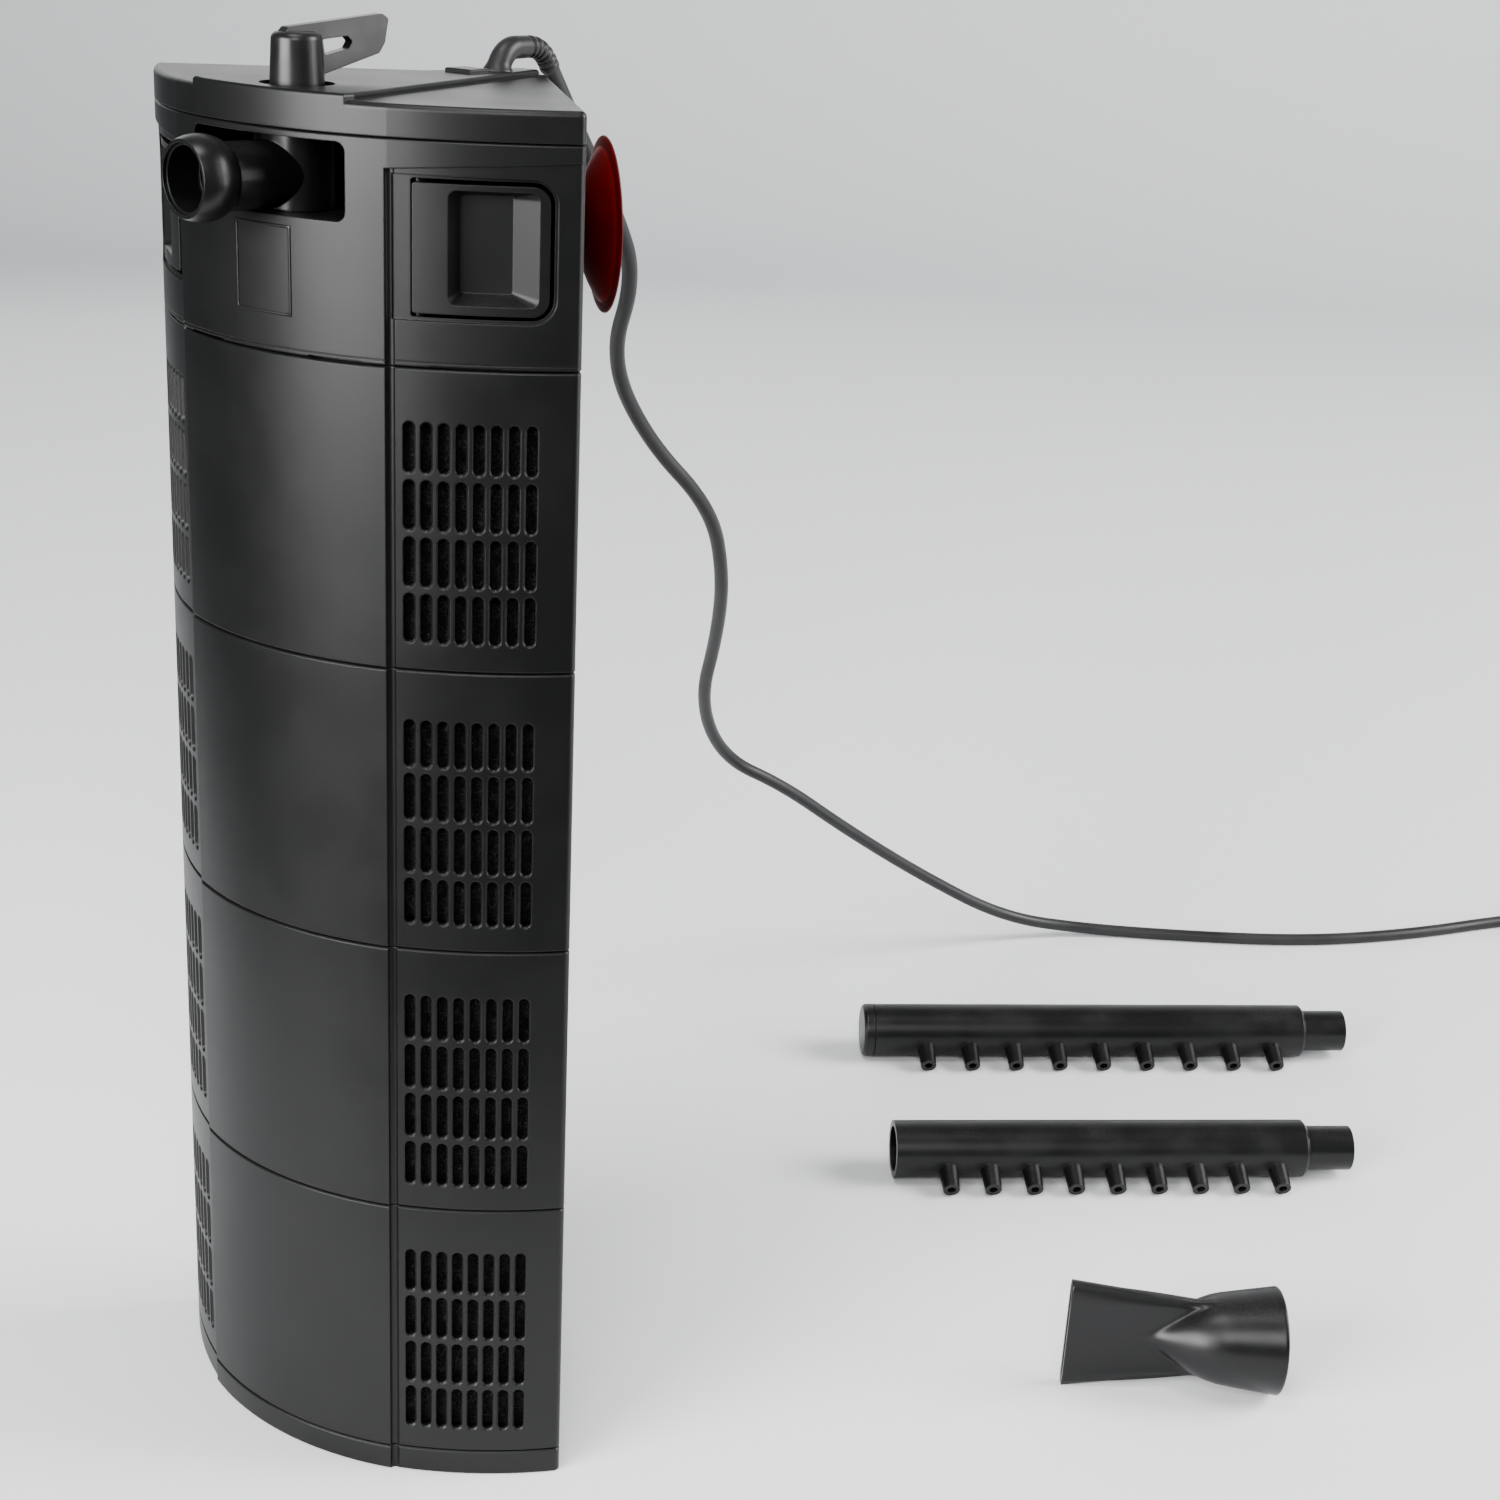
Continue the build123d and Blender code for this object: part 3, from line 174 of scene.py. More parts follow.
def graduated_paint():
    """Stage paint that is pale around the filter and the sky's even grey beyond the two edges."""
    material = bpy.data.materials.new("stage_paint")
    material.use_nodes = True
    tree = material.node_tree
    shader = tree.nodes["Principled BSDF"]
    shader.inputs["Roughness"].default_value = 0.9
    shader.inputs["Specular IOR Level"].default_value = 0.0
    shader.inputs["Emission Strength"].default_value = sky_strength
    axes = put(tree, "SeparateXYZ", Vector=put(tree, "TexCoord").outputs["Object"]).outputs
    slant = calc(tree, "MULTIPLY_ADD", axes["Y"], pale_spread, axes["X"])
    slant_edge = pale_left + pale_spread * pale_front
    front_mask = ramp(tree, axes["Y"], pale_front - paint_fade, pale_front)
    left_mask = ramp(tree, slant, slant_edge - paint_fade, slant_edge)
    pale = calc(tree, "MULTIPLY", front_mask, left_mask)
    tree.links.new(blend_colours(tree, pale, no_light, pale_paint), shader.inputs["Base Color"])
    tree.links.new(blend_colours(tree, pale, sky_tint, no_light), shader.inputs["Emission Color"])
    return material


def add_stage():
    """Floor and wall in one sheet that curves up behind the object."""
    mesh = bmesh.new()
    profile = [(-floor_reach, 0.0), (floor_back, 0.0)]
    for step in range(1, cove_steps + 1):
        turn = step * pi / (2 * cove_steps)
        profile.append((floor_back + cove_radius * sin(turn), cove_radius * (1 - cos(turn))))
    profile.append((floor_back + cove_radius, wall_height))
    rows = []
    for along, up in profile:
        rows.append([mesh.verts.new((side, along, up)) for side in (-floor_reach, floor_reach)])
    for low, high in zip(rows, rows[1:]):
        mesh.faces.new((low[0], low[1], high[1], high[0]))
    data = bpy.data.meshes.new("stage_floor")
    mesh.to_mesh(data)
    mesh.free()
    for polygon in data.polygons:
        polygon.use_smooth = True
    floor = bpy.data.objects.new("stage_floor", data)
    floor.rotation_euler.z = camera_heading
    data.materials.append(graduated_paint())
    bpy.context.scene.collection.objects.link(floor)
    return floor


stage_floor = add_stage()
print("stage", len(stage_floor.data.polygons), "faces")

# %% [markdown]
# ## Light
#
# All lamps are large soft boxes out of view. The tall one in front gives the broad sheen beside the
# centre panel's edge, and it stands high, so that the lower modules mirror less of it. Two at the sides
# lift the flats, and one over the front and one above soften the shadows and light the cover. The
# floor's own light comes from the far right, along the direction of the bars, so it makes no glare on
# them. The last one washes the wall. An even sky with little strength fills what is left.

# %%


def add_light(name, place, target, size, power, tint=(1, 1, 1)):
    """A rectangular soft box aimed at a point."""
    data = bpy.data.lights.new(name, "AREA")
    data.shape = "RECTANGLE"
    data.size, data.size_y = size
    data.energy = power
    data.color = tint
    light = bpy.data.objects.new(name, data)
    light.location = place
    light.rotation_euler = (Vector(target) - Vector(place)).to_track_quat("-Z", "Y").to_euler()
    bpy.context.scene.collection.objects.link(light)


def add_sky():
    """Even fill light from all round."""
    world = bpy.data.worlds.new("studio")
    world.use_nodes = True
    background = world.node_tree.nodes["Background"]
    background.inputs["Color"].default_value = (*sky_tint, 1)
    background.inputs["Strength"].default_value = sky_strength
    bpy.context.scene.world = world


add_sky()
add_light("front_softbox", place=(-0.27, -1.6, 0.62), target=(-0.05, 0, 0.62), size=(1.25, 1.0), power=52)
add_light("left_softbox", place=(-1.45, 1.15, 0.95), target=(0, 0, 0.3), size=(1.5, 0.9), power=4)
add_light("right_softbox", place=(1.6, 0.9, 0.6), target=(0.1, 0.3, 0.2), size=(0.9, 1.1), power=16)
add_light("floor_light", place=(2.0, 1.8, 1.7), target=(0.2, 0.8, 0), size=(1.4, 1.4), power=66)
add_light("fill_softbox", place=(1.0, -1.3, 1.3), target=(0.15, 0.3, 0.1), size=(0.9, 0.9), power=16)
add_light("top_softbox", place=(0.1, -0.3, 1.7), target=(0.05, 0, 0), size=(0.6, 0.6), power=7)
add_light("back_light", place=(-0.2, 1.9, 1.7), target=(-0.2, 2.6, 0.6), size=(2.4, 0.8), power=1,
          tint=(0.8, 0.9, 1.0))

# %% [markdown]
# ## The mains cable
#
# A cable has a real length and a stiffness. It leaves the moulded elbow on the cover, drops behind the
# filter in loose curves, runs out over the floor and ends in a small coil with its plug. The points
# below are the control points of one smooth spline.

# %%
cable_radius = 2.5 * MM
cable_route = [
    (0.0, 72.9, 393.28), (0.0, 87.07, 373.05), (0.7, 102.5, 352.0), (-2.8, 118.8, 330.0),
    (-25.5, 135.8, 299.0), (-26.9, 158.4, 269.0), (-17.7, 184.6, 242.0), (-27.6, 207.2, 212.0),
    (-46.0, 231.0, 181.0), (-71.4, 256.7, 142.0), (-79.9, 286.4, 109.0), (-65.8, 310.4, 94.0),
    (-54.4, 341.5, 69.0), (-41.0, 384.7, 38.0), (-19.1, 422.1, 12.0), (4.9, 454.7, 2.5),
    (46.7, 479.4, 2.5), (89.8, 509.8, 2.5), (123.7, 549.4, 2.5), (148.5, 589.7, 2.5), (172.5, 621.7, 2.5),
]
coil_middle = (196.5, 603.7)
coil_centre = Vector((*coil_middle, 0)) * MM
coil_outer = 30.0 * MM
coil_inner = 25.0 * MM
full_turns = 3
points_per_turn = 16
step_in_at = 0.85      # turns after which the cable steps inwards
step_up_at = 1.85      # turns after which it climbs onto the lower layer
step_out_at = 2.85     # turns after which it steps outwards again
step_turns = 0.3       # part of a turn that each of these steps takes
plug_direction = radians(-80)
plug_height = 6.85 * MM
tail_length = 22.0 * MM


def stepped(turn, start):
    """0 before a step of the coil, 1 after it."""
    return min(max((turn - start) / step_turns, 0), 1)


def coil_points():
    """Two turns on the floor and a turn and a part above them, ending beside the plug."""
    start_angle = atan2(cable_route[-1][1] - coil_middle[1], cable_route[-1][0] - coil_middle[0])
    end_angle = plug_direction + pi / 2
    turns = full_turns + (start_angle - end_angle) % tau / tau
    count = round(points_per_turn * turns)
    low, high = cable_radius, cable_radius * 3
    found = []
    for step in range(1, count + 1):
        turn = turns * step / count
        angle = start_angle - tau * turn
        inward = stepped(turn, step_in_at) - stepped(turn, step_out_at)
        radius = coil_outer + (coil_inner - coil_outer) * inward
        height = low + (high - low) * stepped(turn, step_up_at)
        found.append(coil_centre + Vector((cos(angle) * radius, sin(angle) * radius, height)))
    return found


def cable_points():
    """Control points from the elbow to the plug."""
    points = [Vector(point) * MM for point in cable_route] + coil_points()
    along = Vector((cos(plug_direction), sin(plug_direction), 0))
    last = points[-1]
    for share in (0.45, 1.0):
        points.append(last + along * tail_length * share + Vector((0, 0, (plug_height - last.z) * share)))
    return points


def spline_curve(name, points, radius, steps=10):
    """A smooth round tube whose NURBS spline has these control points."""
    data = bpy.data.curves.new(name, "CURVE")
    data.dimensions = "3D"
    data.bevel_depth = radius
    data.bevel_resolution = 6
    data.resolution_u = steps
    data.use_fill_caps = True
    spline = data.splines.new("NURBS")
    spline.points.add(len(points) - 1)
    for item, point in zip(spline.points, points):
        item.co = (*point, 1)
    spline.order_u = 3
    spline.use_endpoint_u = True
    piece = bpy.data.objects.new(name, data)
    bpy.context.scene.collection.objects.link(piece)
    return piece


def spline_length(piece):
    """Length of a curve's own line."""
    copy = piece.copy()
    copy.data = piece.data.copy()
    copy.data.bevel_depth = 0
    mesh = bpy.data.meshes.new_from_object(copy)
    line = [vertex.co.copy() for vertex in mesh.vertices]
    bpy.data.objects.remove(copy)
    return sum((after - before).length for before, after in zip(line, line[1:]))


cable = spline_curve("cable", cable_points(), cable_radius)
cable_length = spline_length(cable)
print("cable", round(cable_length, 3), "m long,", len(cable_points()), "control points")

# %% [markdown]
# ## Shared effects
#
# Four small effects are used by nearly every finish: moulded grain, handling marks, soft edges and
# settled dust. Each is built once as a shader node group, which gives out a height, a mask or a normal,
# and each material places it with its own values.

# %%


def start_group(name, inputs, outputs):
    """An empty shader node group with named sockets; returns it with what it is given and gives out."""
    group = bpy.data.node_groups.new(name, "ShaderNodeTree")
    for key, value in inputs.items():
        socket = group.interface.new_socket(key, in_out="INPUT", socket_type="NodeSocketFloat")
        socket.default_value = value
    for key, kind in outputs.items():
        group.interface.new_socket(key, in_out="OUTPUT", socket_type="NodeSocket" + kind)
    entry = group.nodes.new("NodeGroupInput")
    leave = group.nodes.new("NodeGroupOutput")
    return group, entry.outputs, leave.inputs


def use_group(tree, group, **values):
    """Places a group in a material with its own values; returns its outputs."""
    return put(tree, "Group", {"node_tree": group}, **values).outputs


print("group helpers:", [helper.__name__ for helper in (start_group, use_group)])

# %% [markdown]
# **Moulded grain.** A plastic part copies the fine spark-eroded texture of its mould. It is a height of
# a few micrometres at a spacing of about a third of a millimetre, over a very slight waviness where the
# wall shrank.

# %%


def build_moulded_grain():
    """Height of the surface, from the grain's spacing and the depths of grain and waviness."""
    inputs = {"Spacing": 0.35 * MM, "Depth": 6 * MICRON, "Wave": 10 * MICRON}
    group, given, result = start_group("moulded_grain", inputs, {"Height": "Float"})
    place = put(group, "TexCoord").outputs["Object"]
    pitch = calc(group, "DIVIDE", 1.0, given["Spacing"])
    fine = put(group, "TexNoise", Vector=place, Scale=pitch, Detail=2.0, Roughness=0.6).outputs["Fac"]
    broad = put(group, "TexNoise", Vector=place, Scale=95.0, Detail=1.0).outputs["Fac"]
    height = calc(group, "ADD", calc(group, "MULTIPLY", fine, given["Depth"]),
                  calc(group, "MULTIPLY", broad, given["Wave"]))
    group.links.new(height, result["Height"])
    return group


moulded_grain = build_moulded_grain()
print(moulded_grain.name, len(moulded_grain.nodes), "nodes")

# %% [markdown]
# **Handling marks.** Where hands and packing have touched the satin surface it is a little smoother or
# duller. Cloudy patches some centimetres wide carry faint level scuffs.

# %%


def build_handling_marks():
    """Mask of the touched patches and scuffs."""
    group, given, result = start_group("handling_marks", {"Patch": 45.0, "Scuff": 0.5}, {"Mask": "Float"})
    place = put(group, "TexCoord").outputs["Object"]
    cloud = put(group, "TexNoise", Vector=place, Scale=given["Patch"], Detail=3.0, Roughness=0.55)
    cloud = ramp(group, cloud.outputs["Fac"], 0.35, 0.68)
    level = put(group, "Mapping", Vector=place, Scale=(60.0, 60.0, 1500.0)).outputs["Vector"]
    streak = put(group, "TexNoise", Vector=level, Scale=1.0, Detail=2.0, Roughness=0.7).outputs["Fac"]
    streak = calc(group, "MULTIPLY", ramp(group, streak, 0.62, 0.75), given["Scuff"])
    group.links.new(calc(group, "MAXIMUM", cloud, streak), result["Mask"])
    return group


handling_marks = build_handling_marks()
print(handling_marks.name, len(handling_marks.nodes), "nodes")

# %% [markdown]
# ** Soft edges, wear and painted edge highlight.** No moulded edge is perfectly sharp. A Bevel node turns
# the normal near each edge, so it catches a line of light, and how far it turned is also a mask that
# lightens the edges' colour: partly the slight polish that wear leaves, partly a painted highlight.

# %%


def build_soft_edges():
    """Rounded normal, and the mask of the edges' wear and painted highlight."""
    outputs = {"Mask": "Float", "Normal": "Vector"}
    group, given, result = start_group("soft_edges", {"Radius": 0.4 * MM}, outputs)
    bevel = put(group, "Bevel", {"samples": 4}, Radius=given["Radius"])
    flat = put(group, "NewGeometry").outputs["Normal"]
    compare = put(group, "VectorMath", {"operation": "DOT_PRODUCT"})
    group.links.new(bevel.outputs["Normal"], compare.inputs[0])
    group.links.new(flat, compare.inputs[1])
    turned = calc(group, "SUBTRACT", 1.0, compare.outputs["Value"])
    place = put(group, "TexCoord").outputs["Object"]
    spots = put(group, "TexNoise", Vector=place, Scale=420.0, Detail=3.0).outputs["Fac"]
    spots = ramp(group, spots, 0.35, 0.7, 0.35, 1.0)
    edge_wear_and_highlight = calc(group, "MULTIPLY", ramp(group, turned, 0.02, 0.25), spots)
    group.links.new(edge_wear_and_highlight, result["Mask"])
    group.links.new(bevel.outputs["Normal"], result["Normal"])
    return group


soft_edges = build_soft_edges()
print(soft_edges.name, len(soft_edges.nodes), "nodes")

# %% [markdown]
# **Settled dust.** A trace of pale dust lies on what faces up, in soft patches.

# %%


def build_settled_dust():
    """Mask of the dust on what faces up."""
    group, given, result = start_group("settled_dust", {"Amount": 0.1}, {"Mask": "Float"})
    facing = put(group, "SeparateXYZ", Vector=put(group, "NewGeometry").outputs["Normal"]).outputs["Z"]
    place = put(group, "TexCoord").outputs["Object"]
    patches = put(group, "TexNoise", Vector=place, Scale=60.0, Detail=4.0).outputs["Fac"]
    specks = put(group, "TexNoise", Vector=place, Scale=1400.0, Detail=1.0).outputs["Fac"]
    patches = ramp(group, patches, 0.35, 0.75, 0.25, 1.0)
    lying = calc(group, "MULTIPLY", ramp(group, facing, 0.55, 0.95), patches)
    lying = calc(group, "MULTIPLY", lying, ramp(group, specks, 0.45, 0.65, 0.4, 1.0))
    group.links.new(calc(group, "MULTIPLY", lying, given["Amount"]), result["Mask"])
    return group


settled_dust = build_settled_dust()
print(settled_dust.name, len(settled_dust.nodes), "nodes")

# %% [markdown]
# ## Moulded finishes
#
# All the rigid plastic, the silicone and the cable sheath are the same kind of material with other values:
# a dark body colour that varies a little, a roughness that the marks change, grain in the normal and
# lighter edges, partly worn and partly a painted highlight. One function builds them.

# %%
dust_colour = (0.30, 0.29, 0.27)


def moulded_finish(name, deep, pale, gloss, dull, spacing=0.35, depth=6.0, wave=10.0, edge=0.35, edge_wear_and_highlight=0.5,
                   edge_wear_and_highlight_tint=2.2, dust=0.08, patch=45.0, scuff=0.5, sockets=None):
    """Plastic, rubber or silicone. Spacing and edge are in mm, depth and wave in micrometres."""
    material = bpy.data.materials.new(name)
    material.use_nodes = True
    tree = material.node_tree
    shader = tree.nodes["Principled BSDF"]
    marks = use_group(tree, handling_marks, Patch=patch, Scuff=scuff)["Mask"]
    edges = use_group(tree, soft_edges, Radius=edge * MM)
    dusty = use_group(tree, settled_dust, Amount=dust)["Mask"]
    grain = use_group(tree, moulded_grain, Spacing=spacing * MM, Depth=depth * MICRON, Wave=wave * MICRON)
    # The edges' lighter colour is partly wear and partly a painted highlight along the edges.
    edge_wear_and_highlight_share = calc(tree, "MULTIPLY", edges["Mask"], edge_wear_and_highlight)
    colour = blend_colours(tree, marks, deep, pale)
    colour = blend_colours(tree, edge_wear_and_highlight_share, colour, [channel * edge_wear_and_highlight_tint for channel in pale])
    colour = blend_colours(tree, dusty, colour, dust_colour)
    rough = ramp(tree, marks, 0.0, 1.0, gloss, dull)
    rough = calc(tree, "ADD", rough, calc(tree, "MULTIPLY", dusty, 0.5), clamp=True)
    bump = put(tree, "Bump", Strength=1.0, Distance=1.0, Height=grain["Height"], Normal=edges["Normal"])
    tree.links.new(colour, shader.inputs["Base Color"])
    tree.links.new(rough, shader.inputs["Roughness"])
    tree.links.new(bump.outputs["Normal"], shader.inputs["Normal"])
    for key, value in (sockets or {}).items():
        shader.inputs[key].default_value = value
    return material


finishes = {
    # satin_black and nozzle_grey lighten their edges strongly: a painted highlight along the edges over
    # slight wear.
    "satin_black": moulded_finish("satin_black", (0.0052, 0.0053, 0.0055), (0.0066, 0.0067, 0.0069),
                                  0.38, 0.405, edge=0.45, edge_wear_and_highlight=0.9, edge_wear_and_highlight_tint=5.0, scuff=0.3),
    "knob_black": moulded_finish("knob_black", (0.009, 0.009, 0.0094), (0.013, 0.013, 0.0135),
                                 0.27, 0.36, depth=3.0, scuff=0.2),
    "nozzle_grey": moulded_finish("nozzle_grey", (0.008, 0.0081, 0.0084), (0.010, 0.0101, 0.0106),
                                  0.30, 0.38, depth=3.5, wave=14.0, edge_wear_and_highlight=0.9, edge_wear_and_highlight_tint=5.0, scuff=0.2),
    "motor_resin": moulded_finish("motor_resin", (0.010, 0.010, 0.011), (0.018, 0.018, 0.019),
                                  0.45, 0.6, depth=20.0, spacing=0.9, scuff=0.1),
    "seal_rubber": moulded_finish("seal_rubber", (0.010, 0.010, 0.010), (0.018, 0.018, 0.018),
                                  0.55, 0.7, scuff=0.0),
    "cable_pvc": moulded_finish("cable_pvc", (0.020, 0.020, 0.021), (0.030, 0.030, 0.031),
                                0.42, 0.52, depth=4.0, spacing=0.25, edge=0.2, scuff=0.1, patch=30.0),
    "impeller_plastic": moulded_finish("impeller_plastic", (0.42, 0.43, 0.43), (0.55, 0.56, 0.56),
                                       0.35, 0.45, edge_wear_and_highlight_tint=1.1, scuff=0.1),
    "red_silicone": moulded_finish("red_silicone", (0.165, 0.0060, 0.0055), (0.215, 0.010, 0.009),
                                   0.36, 0.46, depth=2.5, wave=16.0, edge=0.3, edge_wear_and_highlight=0.25, edge_wear_and_highlight_tint=1.5,
                                   dust=0.04, scuff=0.0,
                                   sockets={"Subsurface Weight": 0.12, "Subsurface Scale": 2 * MM}),
}
print("moulded finishes:", list(finishes))

# %% [markdown]
# ## Metal and magnet
#
# The plug's pins are nickel-plated and the screws are bright steel: both are metallic, and only their
# roughness and tint vary. The rotor's magnet is ground ceramic, dark and a little metallic to look at.

# %%


def metal_finish(name, tint, shade, gloss, dull, patch):
    """Plated or ground metal with faint level scratches."""
    material = bpy.data.materials.new(name)
    material.use_nodes = True
    tree = material.node_tree
    shader = tree.nodes["Principled BSDF"]
    marks = use_group(tree, handling_marks, Patch=patch, Scuff=0.9)["Mask"]
    edges = use_group(tree, soft_edges, Radius=0.15 * MM)
    grain = use_group(tree, moulded_grain, Spacing=0.12 * MM, Depth=1.5 * MICRON, Wave=2 * MICRON)["Height"]
    bump = put(tree, "Bump", Strength=1.0, Distance=1.0, Height=grain, Normal=edges["Normal"])
    tree.links.new(blend_colours(tree, marks, tint, shade), shader.inputs["Base Color"])
    tree.links.new(ramp(tree, marks, 0.0, 1.0, gloss, dull), shader.inputs["Roughness"])
    tree.links.new(bump.outputs["Normal"], shader.inputs["Normal"])
    shader.inputs["Metallic"].default_value = 1.0
    return material


finishes["pin_metal"] = metal_finish("pin_metal", (0.72, 0.70, 0.64), (0.60, 0.58, 0.53),
                                     0.16, 0.30, patch=260.0)
finishes["screw_steel"] = metal_finish("screw_steel", (0.56, 0.56, 0.56), (0.42, 0.42, 0.43),
                                       0.25, 0.42, patch=300.0)
finishes["magnet"] = metal_finish("magnet", (0.10, 0.10, 0.105), (0.06, 0.06, 0.065),
                                  0.40, 0.60, patch=200.0)
print(len(finishes), "finishes with the metals")

# %% [markdown]
# ## Filter foam finish
#
# The foam is coarse, black and open-celled. A Voronoi texture has the same build: its distance to the
# nearest cell edge is small on the struts and large in the pores, so one mask gives colour, roughness
# and depth. The colour in the pores is a painted shade, darker than the struts, where the open cells
# lie in shadow.

# %%
# The pores' colour is a painted shade; the struts' colour is the foam's own.
foam_pore_shade = (0.0010, 0.0011, 0.0012)
foam_pale = (0.008, 0.0085, 0.0095)
foam_bump = 0.6 * MM


def foam_finish(name):
    """Coarse open-cell foam: the struts have the foam's own near-black colour, the open cells a darker
    painted shade.
    """
    material = bpy.data.materials.new(name)
    material.use_nodes = True
    tree = material.node_tree
    shader = tree.nodes["Principled BSDF"]
    place = put(tree, "TexCoord").outputs["Object"]
    cells = put(tree, "TexVoronoi", {"feature": "DISTANCE_TO_EDGE"}, Vector=place, Scale=620.0)
    strut = ramp(tree, cells.outputs["Distance"], 0.02, 0.16, 1.0, 0.0)
    tree.links.new(blend_colours(tree, strut, foam_pore_shade, foam_pale), shader.inputs["Base Color"])
    tree.links.new(ramp(tree, strut, 0.0, 1.0, 0.95, 0.7), shader.inputs["Roughness"])
    bump = put(tree, "Bump", Strength=1.0, Distance=foam_bump, Height=strut)
    tree.links.new(bump.outputs["Normal"], shader.inputs["Normal"])
    return material


finishes["filter_foam"] = foam_finish("filter_foam")
print(len(finishes), "finishes with the foam")

# %% [markdown]
# ## Dressing the CAD nodes
#
# The record says which finish each CAD node has. The nodes keep their shape and get the material in
# their slots.

# %%


def dress(piece, finish):
    """Gives a mesh or curve object one of the finishes, in all its slots."""
    if not piece.material_slots:
        piece.data.materials.append(finishes[finish])
    for place in piece.material_slots:
        place.material = finishes[finish]


for subpart in frame["record"]["subparts"]:
    dress(nodes[subpart["node"]], subpart["material_slot"])

# %% [markdown]
# ## Shape helpers
#
# Most new pieces are skins through a row of rings. Each ring is a list of points in order, and
# neighbouring rings are joined with four-sided faces. A turned piece is the same thing with circular
# rings.

# %%


def skin_rings(name, rings, close_start=True, close_end=True, levels=0):
    """One closed or open skin through rings of equal length."""
    mesh = bmesh.new()
    rows = [[mesh.verts.new(point) for point in ring] for ring in rings]
    count = len(rows[0])
    for low, high in zip(rows, rows[1:]):
        for index in range(count):
            after = (index + 1) % count
            mesh.faces.new((low[index], low[after], high[after], high[index]))
    if close_start:
        mesh.faces.new(list(reversed(rows[0])))
    if close_end:
        mesh.faces.new(rows[-1])
    bmesh.ops.recalc_face_normals(mesh, faces=mesh.faces)
    data = bpy.data.meshes.new(name)
    mesh.to_mesh(data)
    mesh.free()
    for polygon in data.polygons:
        polygon.use_smooth = len(polygon.vertices) == 4
    piece = bpy.data.objects.new(name, data)
    bpy.context.scene.collection.objects.link(piece)
    if levels:
        rounding = piece.modifiers.new("rounding", "SUBSURF")
        rounding.levels = rounding.render_levels = levels
    return piece


def turned(name, profile, place, segments=96, levels=0):
    """A turned piece: profile is (radius, height) in mm along the local Z axis of place."""
    rings = []
    for radius, height in profile:
        ring = []
        for step in range(segments):
            angle = tau * step / segments
            ring.append(place @ Vector((radius * cos(angle) * MM, radius * sin(angle) * MM, height * MM)))
        rings.append(ring)
    return skin_rings(name, rings, levels=levels)


def frame_at(origin, out, up=(0, 0, 1)):
    """A placing matrix in metres: local Z points out, local X as near to up as it can."""
    z_axis = Vector(out).normalized()
    x_axis = (Vector(up) - z_axis * Vector(up).dot(z_axis)).normalized()
    y_axis = z_axis.cross(x_axis)
    matrix = Matrix((x_axis, y_axis, z_axis)).transposed().to_4x4()
    matrix.translation = Vector(origin) * MM
    return matrix


def finish_piece(piece, body, finish, *replaced):
    """Material, body, slot and the CAD nodes that a new piece stands for."""
    dress(piece, finish)
    if replaced:
        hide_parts(*replaced)
    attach(piece, body)
    return piece


print("shape helpers ready")

# %% [markdown]
# ## Suction cups
#
# A silicone suction cup is turned: a stem with a button that snaps into the housing, a short neck, a
# thin dished disc and a rounded lip. The disc is soft, so each cup hangs a few degrees off square on
# its stem.

# %%
cup_profile = [
    (0.01, -5.0), (4.4, -5.0), (5.2, -4.3), (5.2, -3.4), (4.8, -2.9), (3.0, -2.85), (2.95, -1.4),
    (2.95, -0.1), (4.2, 0.05), (4.3, 1.2), (4.2, 2.4), (4.7, 3.3), (6.3, 4.1), (9.0, 4.9), (12.0, 5.9),
    (15.0, 7.1), (18.0, 8.6), (20.2, 9.8), (20.6, 10.35), (21.0, 10.2), (22.4, 10.5), (23.3, 10.75),
    (23.6, 11.05), (23.5, 11.35), (22.9, 11.4), (21.6, 10.95), (19.4, 9.9), (16.0, 8.5), (12.0, 7.3),
    (7.0, 6.5), (0.01, 6.2),
]
cup_height = 357.6      # of the cup's axis
cup_out = 50.0          # from the filter's upright axis to the flat
cup_forward = 4.0       # along the flat, towards the front
right_cup_tilt = 5.5
left_cup_tilt = -2.5


def add_cup(side, tilt_degrees, node):
    """One cup; side is 1 for the right flat and -1 for the left."""
    angle = radians(45 + tilt_degrees)
    out = (side * cos(angle), sin(angle), 0)
    origin = (side * (cup_out + cup_forward) / sqrt(2), (cup_out - cup_forward) / sqrt(2), cup_height)
    name = node.replace("suction_cup", "silicone_cup")
    cup = turned(name, cup_profile, frame_at(origin, out), segments=64, levels=1)
    return finish_piece(cup, "pump_head", "red_silicone", node)


cups = [add_cup(1, right_cup_tilt, "suction_cup_right"), add_cup(-1, left_cup_tilt, "suction_cup_left")]
cup_reach = [round(max(abs(corner[0]) for corner in cup.bound_box), 4) for cup in cups]
print("cups reach", cup_reach, "m sideways")

# %% [markdown]
# ## Filter foam
#
# The foam blocks show as dark texture behind the intake slots. Each starts from its CAD solid: a copy
# is remeshed evenly, then every point moves inwards by a cell pattern, so the surface is really pitted
# and never stands outside the solid.

# %%
foam_grain = 1.5 * MM      # spacing of the remeshed points
foam_cell = 3.6 * MM
foam_pit = 1.3 * MM
foam_skin = 0.25 * MM      # how far even the struts stand back from the solid
pit_rim = 0.62             # distance from a cell's middle where its pit starts, in cells
pit_slope = 0.4            # width of the pit's slope, in cells


def porous(point):
    """Depth of the foam's open cells at a point, in metres, never outwards."""
    distances, _ = noise.voronoi(point / foam_cell)
    share = min(max((pit_rim - distances[0]) / pit_slope, 0.0), 1.0)
    return foam_pit * share * share * (3 - 2 * share) + foam_skin


